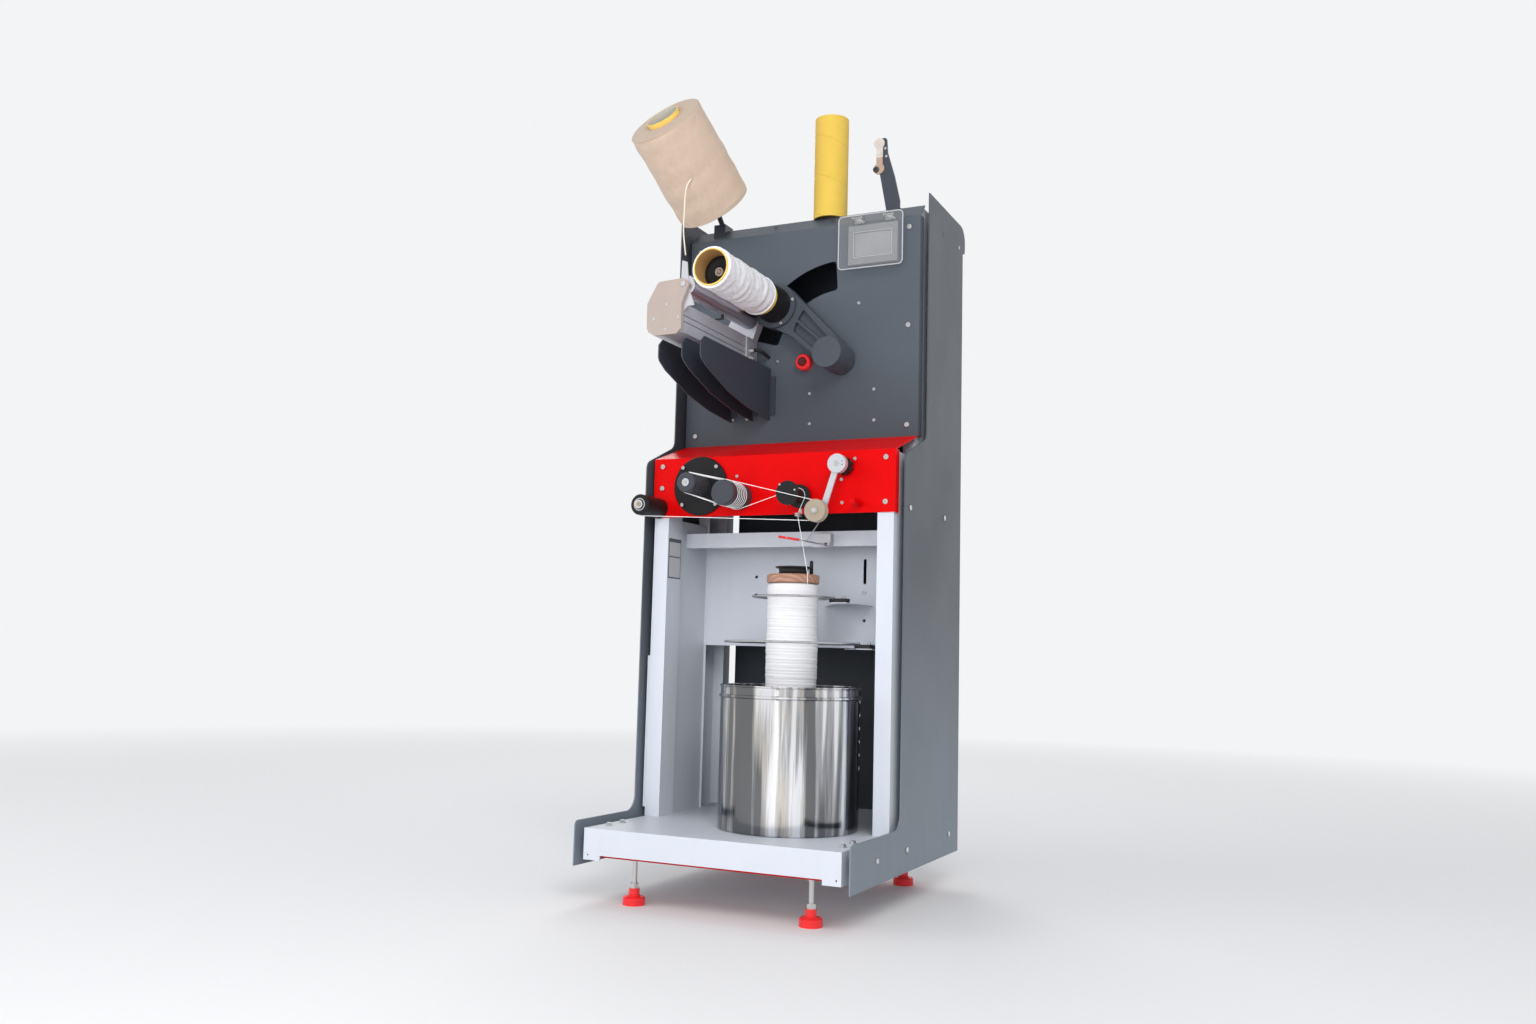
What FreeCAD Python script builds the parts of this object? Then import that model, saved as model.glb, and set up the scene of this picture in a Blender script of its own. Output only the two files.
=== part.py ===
import FreeCAD, Part
import math
import os
import Sketcher
from FreeCAD import Placement, Rotation, Vector

# Yarn cone winder, in millimetres. x runs to the right, y to the back, z up.
# Sizes are counted from the cabinet's middle; publish() then moves every piece so that the
# origin lies on the floor under the middle of the whole part.

SIZES = {
    # from the cabinet's middle to the origin
    "origin_x": 20.6, "origin_y": -9.5,
    # cabinet
    "half_width": 330.0, "half_depth": 365.0, "sheet": 3.0, "panel_low": 83.5, "panel_top": 1695.0,
    "toe_top": 182.0, "toe_round": 35.0, "slope_low": 1024.0, "slope_high": 1084.0,
    "left_mid_y": -112.0, "left_upper_y": 22.0, "right_mid_y": -67.0, "right_upper_y": 85.6,
    "ear_depth": 19.0, "ear_height": 69.0, "ear_round": 38.0, "slope_round": 25.0,
    # base tray
    "tray_half_width": 307.5, "tray_set": 7.0, "tray_top": 167.0, "tray_low": 98.6,
    "foot_x": 214.0, "foot_y": 290.0, "rail_width": 50.0, "tray_bolt_x": 284.0,
    "bolt_y_outer": 293.0, "bolt_y_inner": 236.0, "bolt_y_rear": 254.0,
    # levelling feet
    "stud_radius": 5.5, "pad_radius": 25.0, "pad_base": 16.0, "pad_step_radius": 15.0, "pad_step": 21.0,
    "pad_neck_radius": 12.0, "pad_height": 36.0, "nut_radius": 10.5, "nut_height": 11.0,
    "stud_top": 132.0, "stud_seat": 14.0, "stud_washer": 10.5, "stud_washer_height": 4.0,
    # frames and inner sheets
    "post_inner": 272.7, "post_width": 39.2, "post_depth": 68.0, "post_top": 1030.0, "post_wall": 2.5,
    "frame_inner": 278.0, "frame_outer": 309.0, "frame_front": 131.7, "frame_back": 236.0,
    "frame_step": 1040.0, "frame_top": 1664.0, "inner_sheet": 2.5,
    "back_low": 580.0, "back_high": 862.0, "bar_low": 822.0, "bar_high": 858.0, "bar_front": 20.0,
    "bar_depth": 30.0, "hole_radius": 4.0, "back_hole_x": 160.0, "back_slot_z": 768.0,
    "back_slot_length": 54.0, "back_hole_drop": 130.0, "post_screw_z": 903.0,
    "frame_screw_z": 907.0, "notch_end": 42.0, "notch_height": 11.0, "corner_hole": 2.2,
    # upper front panel
    "front_half_width": 316.0, "upper_y": 57.0, "upper_low": 1087.0, "upper_high": 1633.0,
    "upper_return": 28.0, "chamfer": 34.0, "cover_half_width": 306.0, "cover_slots": 9.0,
    # red band
    "band_y": -94.0, "band_low": 887.5, "band_high": 1033.0, "band_return": 24.0,
    # screws
    "screw_radius": 6.5, "screw_head": 3.5, "shank_radius": 3.0, "bolt_radius": 6.5, "bolt_head": 5.0,
    "washer_radius": 8.5, "washer_height": 1.6,
    # package arm
    "pivot_x": 115.0, "pivot_z": 1286.0, "arm_length": 217.0, "arm_angle": 139.1, "pivot_radius": 37.7,
    "pivot_front": -39.0, "arm_front": 18.0, "arm_back": 50.0, "arm_end_radius": 57.0,
    "flange_front": 8.0, "pocket_depth": 12.0, "pivot_shaft": 14.0, "slot_inner": 180.0,
    "slot_outer": 255.0, "slot_start": 94.0, "slot_sweep": 70.0, "shaft_flange": 32.0,
    "motor_radius": 32.0, "motor_length": 120.0,
    # spindle and package
    "tube_front": -332.0, "tube_length": 266.0, "tube_outer": 43.4, "tube_wall": 3.4,
    "yarn_radius": 50.5, "yarn_front_gap": 14.0, "yarn_back_gap": 10.0, "chuck_length": 132.0,
    "hub_radius": 45.0, "spindle_radius": 9.0, "nose_radius": 11.0, "nose_length": 14.0,
    # traverse unit
    "plate_front": -338.0, "plate_thick": 8.0, "blade_thick": 2.0, "housing_left": -197.0,
    "housing_right": -116.0, "housing_low": 1283.0, "housing_high": 1350.0, "housing_back": -8.0,
    "bracket_step": 30.0, "groove_low": 1307.0, "groove_gap": 14.0, "groove_width": 3.0,
    "groove_depth": 4.0, "guide_slot_x": -127.0, "guide_slot_width": 6.0, "guide_slot_depth": 14.0,
    "roller_x": -114.0, "roller_z": 1393.0, "roller_radius": 23.0, "roller_back": 5.0,
    "axle_radius": 6.0, "clip_thick": 2.0,
    "guide_length": 24.0, "guide_tip_x": -99.0, "guide_tip_z": 1364.0, "guide_thick": 2.0,
    "guard_left": -186.0, "guard_middle": -125.0, "guard_right": -77.0, "guard_front": -316.0,
    "guard_foot": 16.0, "guard_drop": 132.0, "lobe_edge": 5.0,
    # feed rollers, idler and guide pulley
    "disc_x": -184.0, "disc_z": 962.0, "disc_radius": 72.0, "disc_thick": 8.0, "disc_bolt": 45.5,
    "feed_x": -178.0, "feed_z": 960.0, "feed_radius": 24.0, "feed_front": -184.0,
    "separator_x": -75.0, "separator_z": 932.0, "separator_radius": 30.0, "separator_front": -193.0,
    "idler_x": -300.0, "idler_z": 910.0, "idler_radius": 25.0, "idler_front": -188.0,
    "pulley_x": 83.0, "pulley_z": 928.0, "pulley_radius": 28.0, "pulley_core": 17.0,
    "pulley_front": -175.0, "pulley_back": -104.0, "pulley_flange": 5.0, "pin_radius": 7.0,
    "motor_half": 43.0, "drive_length": 100.0, "wraps": 6.0, "wrap_pitch": 9.0,
    # dancer
    "dancer_x": 194.0, "dancer_z": 995.0, "dancer_cap": 22.0, "dancer_front": -152.0,
    "dancer_cap_back": -136.0, "knob_radius": 21.0, "knob_depth": 20.0, "dancer_pulley_x": 158.0,
    "dancer_pulley_z": 884.0, "dancer_pulley_radius": 26.0, "dancer_pulley_front": -188.0,
    "dancer_pulley_width": 20.0, "dancer_groove": 5.0, "dancer_bar": 5.0, "dancer_bar_half": 7.0,
    "peg_x": 230.0, "peg_z": 909.0, "peg_radius": 8.0, "peg_length": 52.0,
    # supply
    "can_x": 68.0, "can_y": -95.0, "can_radius": 161.0, "can_height": 323.0, "can_wall": 1.5,
    "bead_drop": 25.0, "bead": 4.0, "spool_radius": 61.5, "spool_drop": 99.0, "flange_thick": 20.0,
    "foot_flange": 75.0, "foot_flange_thick": 12.0, "knob_neck": 34.0, "knob_flange": 42.0,
    "spool_edge": 2.0, "knob_neck_height": 11.0, "knob_flange_height": 8.0, "knob_peg": 4.0,
    "knob_peg_height": 16.0,
    "ring_wire": 2.5, "upper_ring": 93.0, "upper_ring_z": 693.0, "lower_ring": 154.0,
    "lower_ring_z": 588.0, "ring_block": 38.0, "ring_block_depth": 30.0, "ring_block_height": 22.0,
    "ring_angle": 30.0,
    # stop motion and eyelet
    "sensor_left": 70.0, "sensor_right": 120.0, "sensor_low": 818.0, "sensor_high": 850.0,
    "sensor_depth": 20.0, "wire_radius": 1.4, "wire_pivot_y": -6.0, "wire_pivot_z": 824.0,
    "barrel_radius": 4.0, "wire_pin": 1.5, "ear_width": 3.0, "lever_reach": 40.0,
    "grip_length": 20.0, "touch_side": 10.0, "touch_back": 6.0, "eyelet_x": 84.0, "eyelet_radius": 7.5,
    "eyelet_hole": 4.2, "eyelet_height": 7.0,
    # operator panel
    "bezel_left": 133.0, "bezel_right": 262.0, "bezel_low": 1521.0, "bezel_high": 1620.0,
    "bezel_depth": 12.0, "screen_side": 14.5, "screen_end": 17.5, "screen_thick": 2.5,
    "cover_left": 111.0, "cover_right": 281.0, "cover_low": 1506.0, "cover_high": 1643.0,
    "cover_gap": 24.0, "cover_thick": 3.0, "cover_round": 12.0, "hinge_x_left": 159.0,
    "hinge_x_right": 240.0, "hinge_drop": 6.0, "hinge_set": 5.0, "hinge_barrel": 4.5,
    "hinge_pin": 2.5, "hinge_half": 9.7, "hinge_ear": 3.0,
    # emergency stop
    "stop_x": 20.0, "stop_z": 1285.0, "collar_radius": 20.0, "collar_depth": 22.0,
    "button_radius": 11.0, "button_stem": 8.0, "button_front": 29.0, "button_head": 11.0,
    "stem_length": 34.0,
    # on top
    "spare_x": 55.0, "spare_y": 112.0, "creel_x": -225.8, "creel_y": 6.5, "creel_z": 1705.9,
    "creel_turn": -13.3, "creel_tilt": 39.9, "creel_length": 256.0, "creel_radius": 99.0,
    "creel_bracket_left": -257.0, "creel_bracket_right": -224.0, "mandrel_radius": 7.0,
    "mandrel_reach": 150.0, "seat_thick": 8.0, "tail_along": 124.7, "tail_angle": -32.6, "tail_thick": 1.8,
    "tail_fall": 200.0,
    "guide_base_left": 214.0, "guide_base_right": 249.0, "guide_plate_y": 92.0, "guide_plate": 6.0,
    "guide_arm_height": 190.0, "guide_foot": 34.0, "guide_lean": 55.0, "pad_thick": 4.0, "pad_lobe": 14.0,
    # clearances and yarn
    "running_gap": 0.05, "side_gap": 0.4, "seat_gap": 0.3, "yarn_thick": 1.1,
}


class Size:
    """A length that carries both its number and the sheet formula it comes from."""

    def __init__(self, number, formula):
        self.number = number
        self.formula = formula

    def __add__(self, other):
        other = as_size(other)
        return Size(self.number + other.number, f"({self.formula} + {other.formula})")

    def __sub__(self, other):
        other = as_size(other)
        return Size(self.number - other.number, f"({self.formula} - {other.formula})")

    def __mul__(self, factor):
        factor = as_size(factor)
        return Size(self.number * factor.number, f"({self.formula} * {factor.formula})")

    def __truediv__(self, divisor):
        divisor = as_size(divisor)
        return Size(self.number / divisor.number, f"({self.formula} / {divisor.formula})")

    def __neg__(self):
        return Size(-self.number, f"(0 - {self.formula})")

    def __radd__(self, other):
        return as_size(other) + self

    def __rsub__(self, other):
        return as_size(other) - self

    def __float__(self):
        return float(self.number)


def as_size(value):
    if isinstance(value, Size):
        return value
    return Size(float(value), f"({float(value)!r})")


def cosine(angle):
    return Size(math.cos(math.radians(angle.number)), f"cos({angle.formula})")


def sine(angle):
    return Size(math.sin(math.radians(angle.number)), f"sin({angle.formula})")


class Sheet:
    """The spreadsheet of driving sizes, read as attributes."""

    def __init__(self, document, sizes):
        page = document.addObject("Spreadsheet::Sheet", "Sizes")
        for row, (alias, value) in enumerate(sizes.items(), start=1):
            page.set(f"A{row}", alias)
            page.set(f"B{row}", str(value))
            page.setAlias(f"B{row}", alias)
            setattr(self, alias, Size(value, f"Sizes.{alias}"))
        document.recompute()


doc = FreeCAD.newDocument("YarnConeWinder")
d = Sheet(doc, SIZES)
NODES = []
TURN = {"x": Rotation(Vector(0, 1, 0), 90), "y": Rotation(Vector(1, 0, 0), -90), "z": Rotation()}
PLANE = {"x": "YZ_Plane", "y": "XZ_Plane", "z": "XY_Plane"}
BEND = math.tan(math.pi / 8)    # share of a sheet's thickness lost inside a 45 degree bend
# the loose end's route from its first point, in hundredths of its fall
TAIL_ROUTE = [
    (0, 0, 0), (-4.6, -0.9, -5.3), (-6.8, -1.4, -16.3), (-7.5, -1.4, -32.6), (-7.8, -1.4, -52.8),
    (-7.9, -1.7, -64.8), (-6.8, -1.4, -77.3), (-3.8, -1.2, -96.8),
]


# ---- building blocks ----

def bind(feature, prop, size):
    feature.setExpression(prop, as_size(size).formula)


def place(feature, at):
    for letter, size in zip("xyz", at):
        bind(feature, f"Placement.Base.{letter}", size)


def block(x, y, z):
    """A box between (low, high) pairs."""
    box = doc.addObject("Part::Box", "Block")
    for prop, (low, high) in zip(("Length", "Width", "Height"), (x, y, z)):
        bind(box, prop, as_size(high) - low)
    place(box, (x[0], y[0], z[0]))
    return box


def spot(axis, at, start):
    """The point at distance start along the axis, with the other two coordinates from at."""
    first, second = at
    return {"x": (start, first, second), "y": (first, start, second), "z": (first, second, start)}[axis]


def rod(axis, at, span, radius):
    """A round bar along x, y or z over span, centred on the other two coordinates."""
    bar = doc.addObject("Part::Cylinder", "Rod")
    bind(bar, "Radius", radius)
    bind(bar, "Height", as_size(span[1]) - span[0])
    bar.Placement.Rotation = TURN[axis]
    place(bar, spot(axis, at, span[0]))
    return bar


def hexagon(at, span, radius):
    bar = doc.addObject("Part::Prism", "Hexagon")
    bar.Polygon = 6
    bind(bar, "Circumradius", radius)
    bind(bar, "Height", as_size(span[1]) - span[0])
    place(bar, spot("z", at, span[0]))
    return bar


def join(*parts):
    result = doc.addObject("Part::MultiFuse", "Joined")
    result.Shapes = list(parts)
    result.Refine = True
    return result


def cut(base, *tools):
    result = doc.addObject("Part::Cut", "Cut")
    result.Base = base
    result.Tool = tools[0] if len(tools) == 1 else group(*tools)
    result.Refine = True
    return result


def group(*parts):
    result = doc.addObject("Part::Compound", "Group")
    result.Links = list(parts)
    return result


def mirrored(part):
    result = doc.addObject("Part::Mirroring", "Mirrored")
    result.Source = part
    result.Normal = Vector(1, 0, 0)
    return result


def feature(shape):
    """A shape made with Part's own functions, as an object of the document."""
    result = doc.addObject("Part::Feature", "Shape")
    result.Shape = shape
    return result


def sketch_in(body, axis, points, offset):
    """A closed outline in the body's own plane across the axis, each point bound to the sheet."""
    sketch = body.newObject("Sketcher::SketchObject", "Outline")
    plane = [item for item in body.Origin.OriginFeatures if item.Role == PLANE[axis]][0]
    sketch.AttachmentSupport = [(plane, "")]
    sketch.MapMode = "FlatFace"
    corners = [Vector(float(u), float(v), 0) for u, v in points]
    count = len(points)
    for index, corner in enumerate(corners):
        sketch.addGeometry(Part.LineSegment(corner, corners[(index + 1) % count]))
    for index in range(count):
        sketch.addConstraint(Sketcher.Constraint("Coincident", index, 2, (index + 1) % count, 1))
    for index, pair in enumerate(points):
        for kind, size in zip(("DistanceX", "DistanceY"), pair):
            number = sketch.addConstraint(Sketcher.Constraint(kind, -1, 1, index, 1, float(size)))
            sketch.setExpression(f"Constraints[{number}]", as_size(size).formula)
    bind(sketch, "AttachmentOffset.Base.z", offset)
    return sketch


def prism(axis, points, span, rounds=()):
    """An outline across the axis, padded over span; rounds are (radius, point numbers)."""
    body = doc.addObject("PartDesign::Body", "Body")
    offset = -as_size(span[1]) if axis == "y" else as_size(span[0])
    pad = body.newObject("PartDesign::Pad", "Pad")
    pad.Profile = sketch_in(body, axis, points, offset)
    bind(pad, "Length", as_size(span[1]) - span[0])
    doc.recompute()
    for radius, numbers in rounds:
        round_corners(body, axis, [points[number] for number in numbers], radius)
    return body


def round_corners(body, axis, corners, radius):
    """Rounds the edges along the axis that stand on the given outline points."""
    base = body.Tip
    across = {"x": (1, 2), "y": (0, 2), "z": (0, 1)}[axis]
    names = []
    for number, edge in enumerate(base.Shape.Edges, start=1):
        middle = edge.CenterOfMass
        along = {"x": 0, "y": 1, "z": 2}[axis]
        straight = abs(abs(edge.tangentAt(edge.FirstParameter)[along]) - 1) < 1e-6
        for u, v in corners:
            away = abs(middle[across[0]] - float(u)) + abs(middle[across[1]] - float(v))
            if straight and away < 1e-3:
                names.append(f"Edge{number}")
    fillet = body.newObject("PartDesign::Fillet", "Round")
    fillet.Base = (base, names)
    bind(fillet, "Radius", radius)
    doc.recompute()


def turned(axis, at, points):
    """A revolved body: points are (radius, place along the axis)."""
    body = doc.addObject("PartDesign::Body", "Body")
    sketch = sketch_in(body, "y", points, 0)
    turning = body.newObject("PartDesign::Revolution", "Turned")
    turning.Profile = sketch
    turning.ReferenceAxis = (sketch, ["V_Axis"])
    turning.Angle = 360
    body.Placement.Rotation = TURN[axis]
    place(body, spot(axis, at, 0))
    return body


def sleeve(axis, at, span, outer, inner):
    low, high = span
    return turned(axis, at, [(inner, low), (outer, low), (outer, high), (inner, high)])


def publish(name, part):
    node = group(part)
    place(node, (d.origin_x, d.origin_y, 0))
    node.Label = name
    NODES.append(node)


def screw(axis, at, face, outward):
    """A round head on a face with a short shank into the sheet; outward is +1 or -1 along the axis."""
    head = (face, face + d.screw_head) if outward > 0 else (face - d.screw_head, face)
    shank = (face - d.sheet, face) if outward > 0 else (face, face + d.sheet)
    return join(rod(axis, at, head, d.screw_radius), rod(axis, at, shank, d.shank_radius))


def rounded_path(points, share=0.45):
    """Straight runs joined by tangent arcs, each as large as its two runs allow."""
    edges = []
    start = points[0]
    for before, corner, after in zip(points, points[1:], points[2:]):
        into = (corner - before).normalize()
        out = (after - corner).normalize()
        turn = into.getAngle(out)
        reach = share * min((corner - before).Length, (after - corner).Length)
        radius = reach / math.tan(turn / 2)
        enter = corner - into * reach
        leave = corner + out * reach
        centre = corner + (out - into).normalize() * math.hypot(radius, reach)
        middle = centre + (corner - centre).normalize() * radius
        edges.append(Part.LineSegment(start, enter).toShape())
        edges.append(Part.Arc(enter, middle, leave).toShape())
        start = leave
    edges.append(Part.LineSegment(start, points[-1]).toShape())
    return Part.Wire(edges)


def tube_along(wire, radius):
    """A round solid that follows a wire from its first point."""
    first = wire.Edges[0]
    start = first.valueAt(first.FirstParameter)
    ahead = first.tangentAt(first.FirstParameter)
    section = Part.Wire([Part.Circle(start, ahead, radius).toShape()])
    return wire.makePipeShell([section], True, True)


# ---- cabinet ----

def side_panel(name, side, mid_y, upper_y, holes):
    """A flat side sheet with a toe below, a slanted step in front and a rounded ear at the back."""
    ear = d.half_depth + d.ear_depth
    outline = [
        (d.half_depth, d.panel_low), (-d.half_depth, d.panel_low), (-d.half_depth, d.toe_top),
        (mid_y, d.toe_top), (mid_y, d.slope_low), (upper_y, d.slope_high), (upper_y, d.panel_top),
        (ear, d.panel_top), (ear, d.panel_top - d.ear_height), (d.half_depth, d.panel_top - d.ear_height),
    ]
    outer = d.half_width * side
    inner = (d.half_width - d.sheet) * side
    span = (inner, outer) if side > 0 else (outer, inner)
    rounds = [(d.toe_round, (3,)), (d.slope_round, (4, 5)), (d.ear_round, (7,)), (d.sheet * 4, (2, 8))]
    sheet = prism("x", outline, span, rounds)
    bosses = []
    for (y, z), seat in holes:
        inner_end = seat * side
        boss_span = (inner_end, inner) if side > 0 else (inner, inner_end)
        bosses.append(rod("x", (y, z), boss_span, d.screw_radius))
    body = join(sheet, *bosses)
    drills = [rod("x", at, span, d.shank_radius) for at, _ in holes]
    publish(name, cut(body, *drills))


def side_screw_places():
    """Where each side panel is screwed on, and how far out its seat is."""
    post = d.post_inner + d.post_width
    on_post = (d.band_y + d.sheet + d.post_depth - d.screw_radius - d.sheet, d.post_screw_z)
    on_frame = (d.frame_back - d.screw_radius - d.sheet, d.frame_screw_z)
    tray_z = (d.tray_top + d.tray_low) / 2
    return [
        (on_post, post), (on_frame, d.frame_outer),
        ((-tray_half_depth() * 0.6, tray_z), d.tray_half_width),
        ((-d.sheet * 8, tray_z), d.tray_half_width),
        ((tray_half_depth() * 0.8, tray_z), d.tray_half_width),
    ]


def tray_half_depth():
    return d.half_depth - d.tray_set


def base_tray():
    """A folded tray, open underneath, its front edge raised between the corners."""
    wide, deep, wall = d.tray_half_width, tray_half_depth(), d.sheet
    shell = cut(
        block((-wide, wide), (-deep, deep), (d.tray_low, d.tray_top)),
        block((wall - wide, wide - wall), (wall - deep, deep - wall), (d.tray_low, d.tray_top - wall)),
    )
    drills = [rod("z", at, (d.tray_top - wall, d.tray_top), d.shank_radius) for at in bolt_places()]
    for at, _ in side_screw_places()[2:]:
        drills.append(rod("x", at, (wide - wall, wide), d.shank_radius))
        drills.append(rod("x", at, (-wide, wall - wide), d.shank_radius))
    notch = wide - d.notch_end
    drills.append(block((-notch, notch), (-deep, wall - deep), (d.tray_low, d.tray_low + d.notch_height)))
    hole = (wide - d.notch_height, d.tray_low + d.notch_height)
    drills.append(rod("y", hole, (-deep, wall - deep), d.corner_hole))
    drills.append(rod("y", (-hole[0], hole[1]), (-deep, wall - deep), d.corner_hole))
    publish("base_tray", cut(shell, *drills))


def foot_rails():
    """The red channels across the tray's underside, open above, one for each pair of feet."""
    wall = d.sheet
    end = d.tray_half_width - wall
    rails = []
    for side in (-1, 1):
        low, high = d.foot_y * side - d.rail_width / 2, d.foot_y * side + d.rail_width / 2
        holes = [rod("z", at, (d.tray_low, d.tray_low + wall), d.stud_radius)
                 for at in ((-d.foot_x, d.foot_y * side), (d.foot_x, d.foot_y * side))]
        rails.append(cut(
            block((-end, end), (low, high), (d.tray_low, d.tray_top - wall)),
            block((-end, end), (low + wall, high - wall), (d.tray_low + wall, d.tray_top - wall)), *holes,
        ))
    publish("foot_rails", group(*rails))


def foot_places():
    return [(d.foot_x * sx, d.foot_y * sy) for sx in (-1, 1) for sy in (-1, 1)]


def bolt_places():
    rows = (-d.bolt_y_outer, -d.bolt_y_inner, d.bolt_y_rear, d.bolt_y_outer)
    return [(d.tray_bolt_x * side, y) for side in (-1, 1) for y in rows]


def foot_pads():
    """Red pads with a step round the neck, each with a blind bore for its stud."""
    bore, edge = d.stud_radius, d.sheet
    publish("foot_pads", group(*[turned("z", at, [
        (0, 0), (d.pad_radius, 0), (d.pad_radius, d.pad_base), (d.pad_radius - edge, d.pad_base + edge),
        (d.pad_step_radius, d.pad_base + edge), (d.pad_step_radius, d.pad_step),
        (d.pad_neck_radius, d.pad_step), (d.pad_neck_radius, d.pad_height), (bore, d.pad_height),
        (bore, d.stud_seat), (0, d.stud_seat),
    ]) for at in foot_places()]))


def base_fixings():
    """The studs with a hexagon on the pad and a washer under the tray, and the tray's hex bolts."""
    pieces = []
    washer = (d.tray_low - d.stud_washer_height, d.tray_low)
    for at in foot_places():
        pieces.append(join(
            rod("z", at, (d.stud_seat, d.stud_top), d.stud_radius),
            hexagon(at, (d.pad_height, d.pad_height + d.nut_height), d.nut_radius),
        ))
        pieces.append(cut(rod("z", at, washer, d.stud_washer), rod("z", at, washer, d.stud_radius)))
    washer_top = d.tray_top + d.washer_height
    for at in bolt_places():
        pieces.append(join(
            rod("z", at, (d.tray_top, washer_top), d.washer_radius),
            hexagon(at, (washer_top, washer_top + d.bolt_head), d.bolt_radius),
            rod("z", at, (d.tray_top - d.sheet, d.tray_top), d.shank_radius),
        ))
    publish("base_fixings", group(*pieces))


def front_posts():
    """Closed square posts on the tray behind the red band."""
    front = d.band_y + d.sheet
    back = front + d.post_depth
    inner, outer, wall = d.post_inner, d.post_inner + d.post_width, d.post_wall
    post = cut(
        block((inner, outer), (front, back), (d.tray_top, d.post_top)),
        block((inner + wall, outer - wall), (front + wall, back - wall), (d.tray_top, d.post_top)),
    )
    publish("front_posts", group(post, mirrored(post)))


def side_frames():
    """Rear channels that step forward above the red band to carry the upper front panel."""
    wall = d.post_wall
    front = d.upper_y + d.sheet
    bevel_y = d.upper_y + d.chamfer
    bevel_low = d.upper_high - d.sheet * BEND
    bevel_high = bevel_low + d.chamfer - d.sheet
    outline = [
        (d.frame_front, d.tray_top), (d.frame_front, d.frame_step), (front, d.frame_step),
        (front, bevel_low), (bevel_y, bevel_high), (bevel_y, d.frame_top),
        (d.frame_back, d.frame_top), (d.frame_back, d.tray_top),
    ]
    hollow = [
        (d.frame_front + wall, d.tray_top + wall), (d.frame_front + wall, d.frame_step + wall),
        (front + wall, d.frame_step + wall), (front + wall, bevel_low - wall),
        (bevel_y + wall, bevel_high - wall), (bevel_y + wall, d.frame_top - wall),
        (d.frame_back - wall, d.frame_top - wall), (d.frame_back - wall, d.tray_top + wall),
    ]
    frame = cut(
        prism("x", outline, (d.frame_inner, d.frame_outer)),
        prism("x", hollow, (d.frame_inner, d.frame_outer - wall)),
    )
    publish("side_frames", group(frame, mirrored(frame)))


def inner_sheets():
    """The bay's light sheets: one at each side and the drilled plate behind the supply."""
    outer = d.frame_inner + d.inner_sheet * 3
    back_of_post = d.band_y + d.sheet + d.post_depth
    sheet = block((outer - d.inner_sheet, outer), (back_of_post, d.frame_front - d.inner_sheet),
                  (d.tray_top, d.band_low))
    publish("inner_sheets", group(sheet, mirrored(sheet), back_plate()))


def back_plate():
    """The light plate behind the supply, with its drilled holes and one upright slot."""
    edge = d.frame_outer - d.post_wall
    y = (d.frame_front - d.inner_sheet, d.frame_front)
    plate = block((-edge, edge), y, (d.back_low, d.back_high))
    drop = d.back_hole_drop
    holes = [rod("y", (x, z), y, d.hole_radius) for x, z in (
        (-d.back_hole_x * 0.85, d.back_low + drop * 1.35), (-d.back_hole_x * 0.85, d.back_low + drop),
        (d.back_hole_x, d.back_low + drop * 1.05), (d.back_hole_x, d.back_low + drop * 0.52),
        (-d.back_hole_x * 1.8, d.back_low + drop * 0.14),
    )]
    half = d.back_slot_length / 2
    slot = join(
        block((d.back_hole_x - d.hole_radius, d.back_hole_x + d.hole_radius), y,
              (d.back_slot_z - half, d.back_slot_z + half)),
        rod("y", (d.back_hole_x, d.back_slot_z - half), y, d.hole_radius),
        rod("y", (d.back_hole_x, d.back_slot_z + half), y, d.hole_radius),
    )
    return cut(plate, *holes, slot)


def crossbar():
    """A folded bar between the inner sheets, open behind."""
    end = d.frame_inner + d.inner_sheet * 2
    y = (d.bar_front, d.bar_front + d.bar_depth)
    wall = d.inner_sheet
    bar = cut(
        block((-end, end), y, (d.bar_low, d.bar_high)),
        block((-end, end), (y[0] + wall, y[1]), (d.bar_low + wall, d.bar_high - wall)),
    )
    publish("crossbar", bar)


def folded(points, width, thick):
    """A sheet bent along x: points are its outer line in (y, z), thick its inward steps."""
    inner = [(y + step_y, z + step_z) for (y, z), (step_y, step_z) in zip(points, thick)]
    return prism("x", points + inner[::-1], (-width, width))


def upper_front_panel():
    """The dark front sheet with side returns, a slanted top edge and the arc slot of the arm."""
    front, back = d.upper_y, d.upper_y + d.sheet
    half, wall = d.front_half_width, d.sheet
    bend = d.sheet * BEND
    face = folded(
        [(front, d.upper_low), (front, d.upper_high), (front + d.chamfer, d.upper_high + d.chamfer)],
        half, [(wall, 0), (wall, -bend), (0, -wall * math.sqrt(2))],
    )
    sides = []
    for low, high in ((-half, wall - half), (half - wall, half)):
        sides.append(block((low, high), (front, front + d.upper_return), (d.upper_low, d.upper_high)))
    y = (front, back)
    holes = [rod("y", at, y, d.shank_radius) for at in upper_screw_places()]
    holes.append(rod("y", (d.pivot_x, d.pivot_z), y, d.pivot_shaft))
    holes.append(rod("y", (d.stop_x, d.stop_z), y, d.button_stem + d.running_gap))
    publish("upper_front_panel", cut(join(face, *sides), *holes, feature(arc_slot())))


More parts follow.
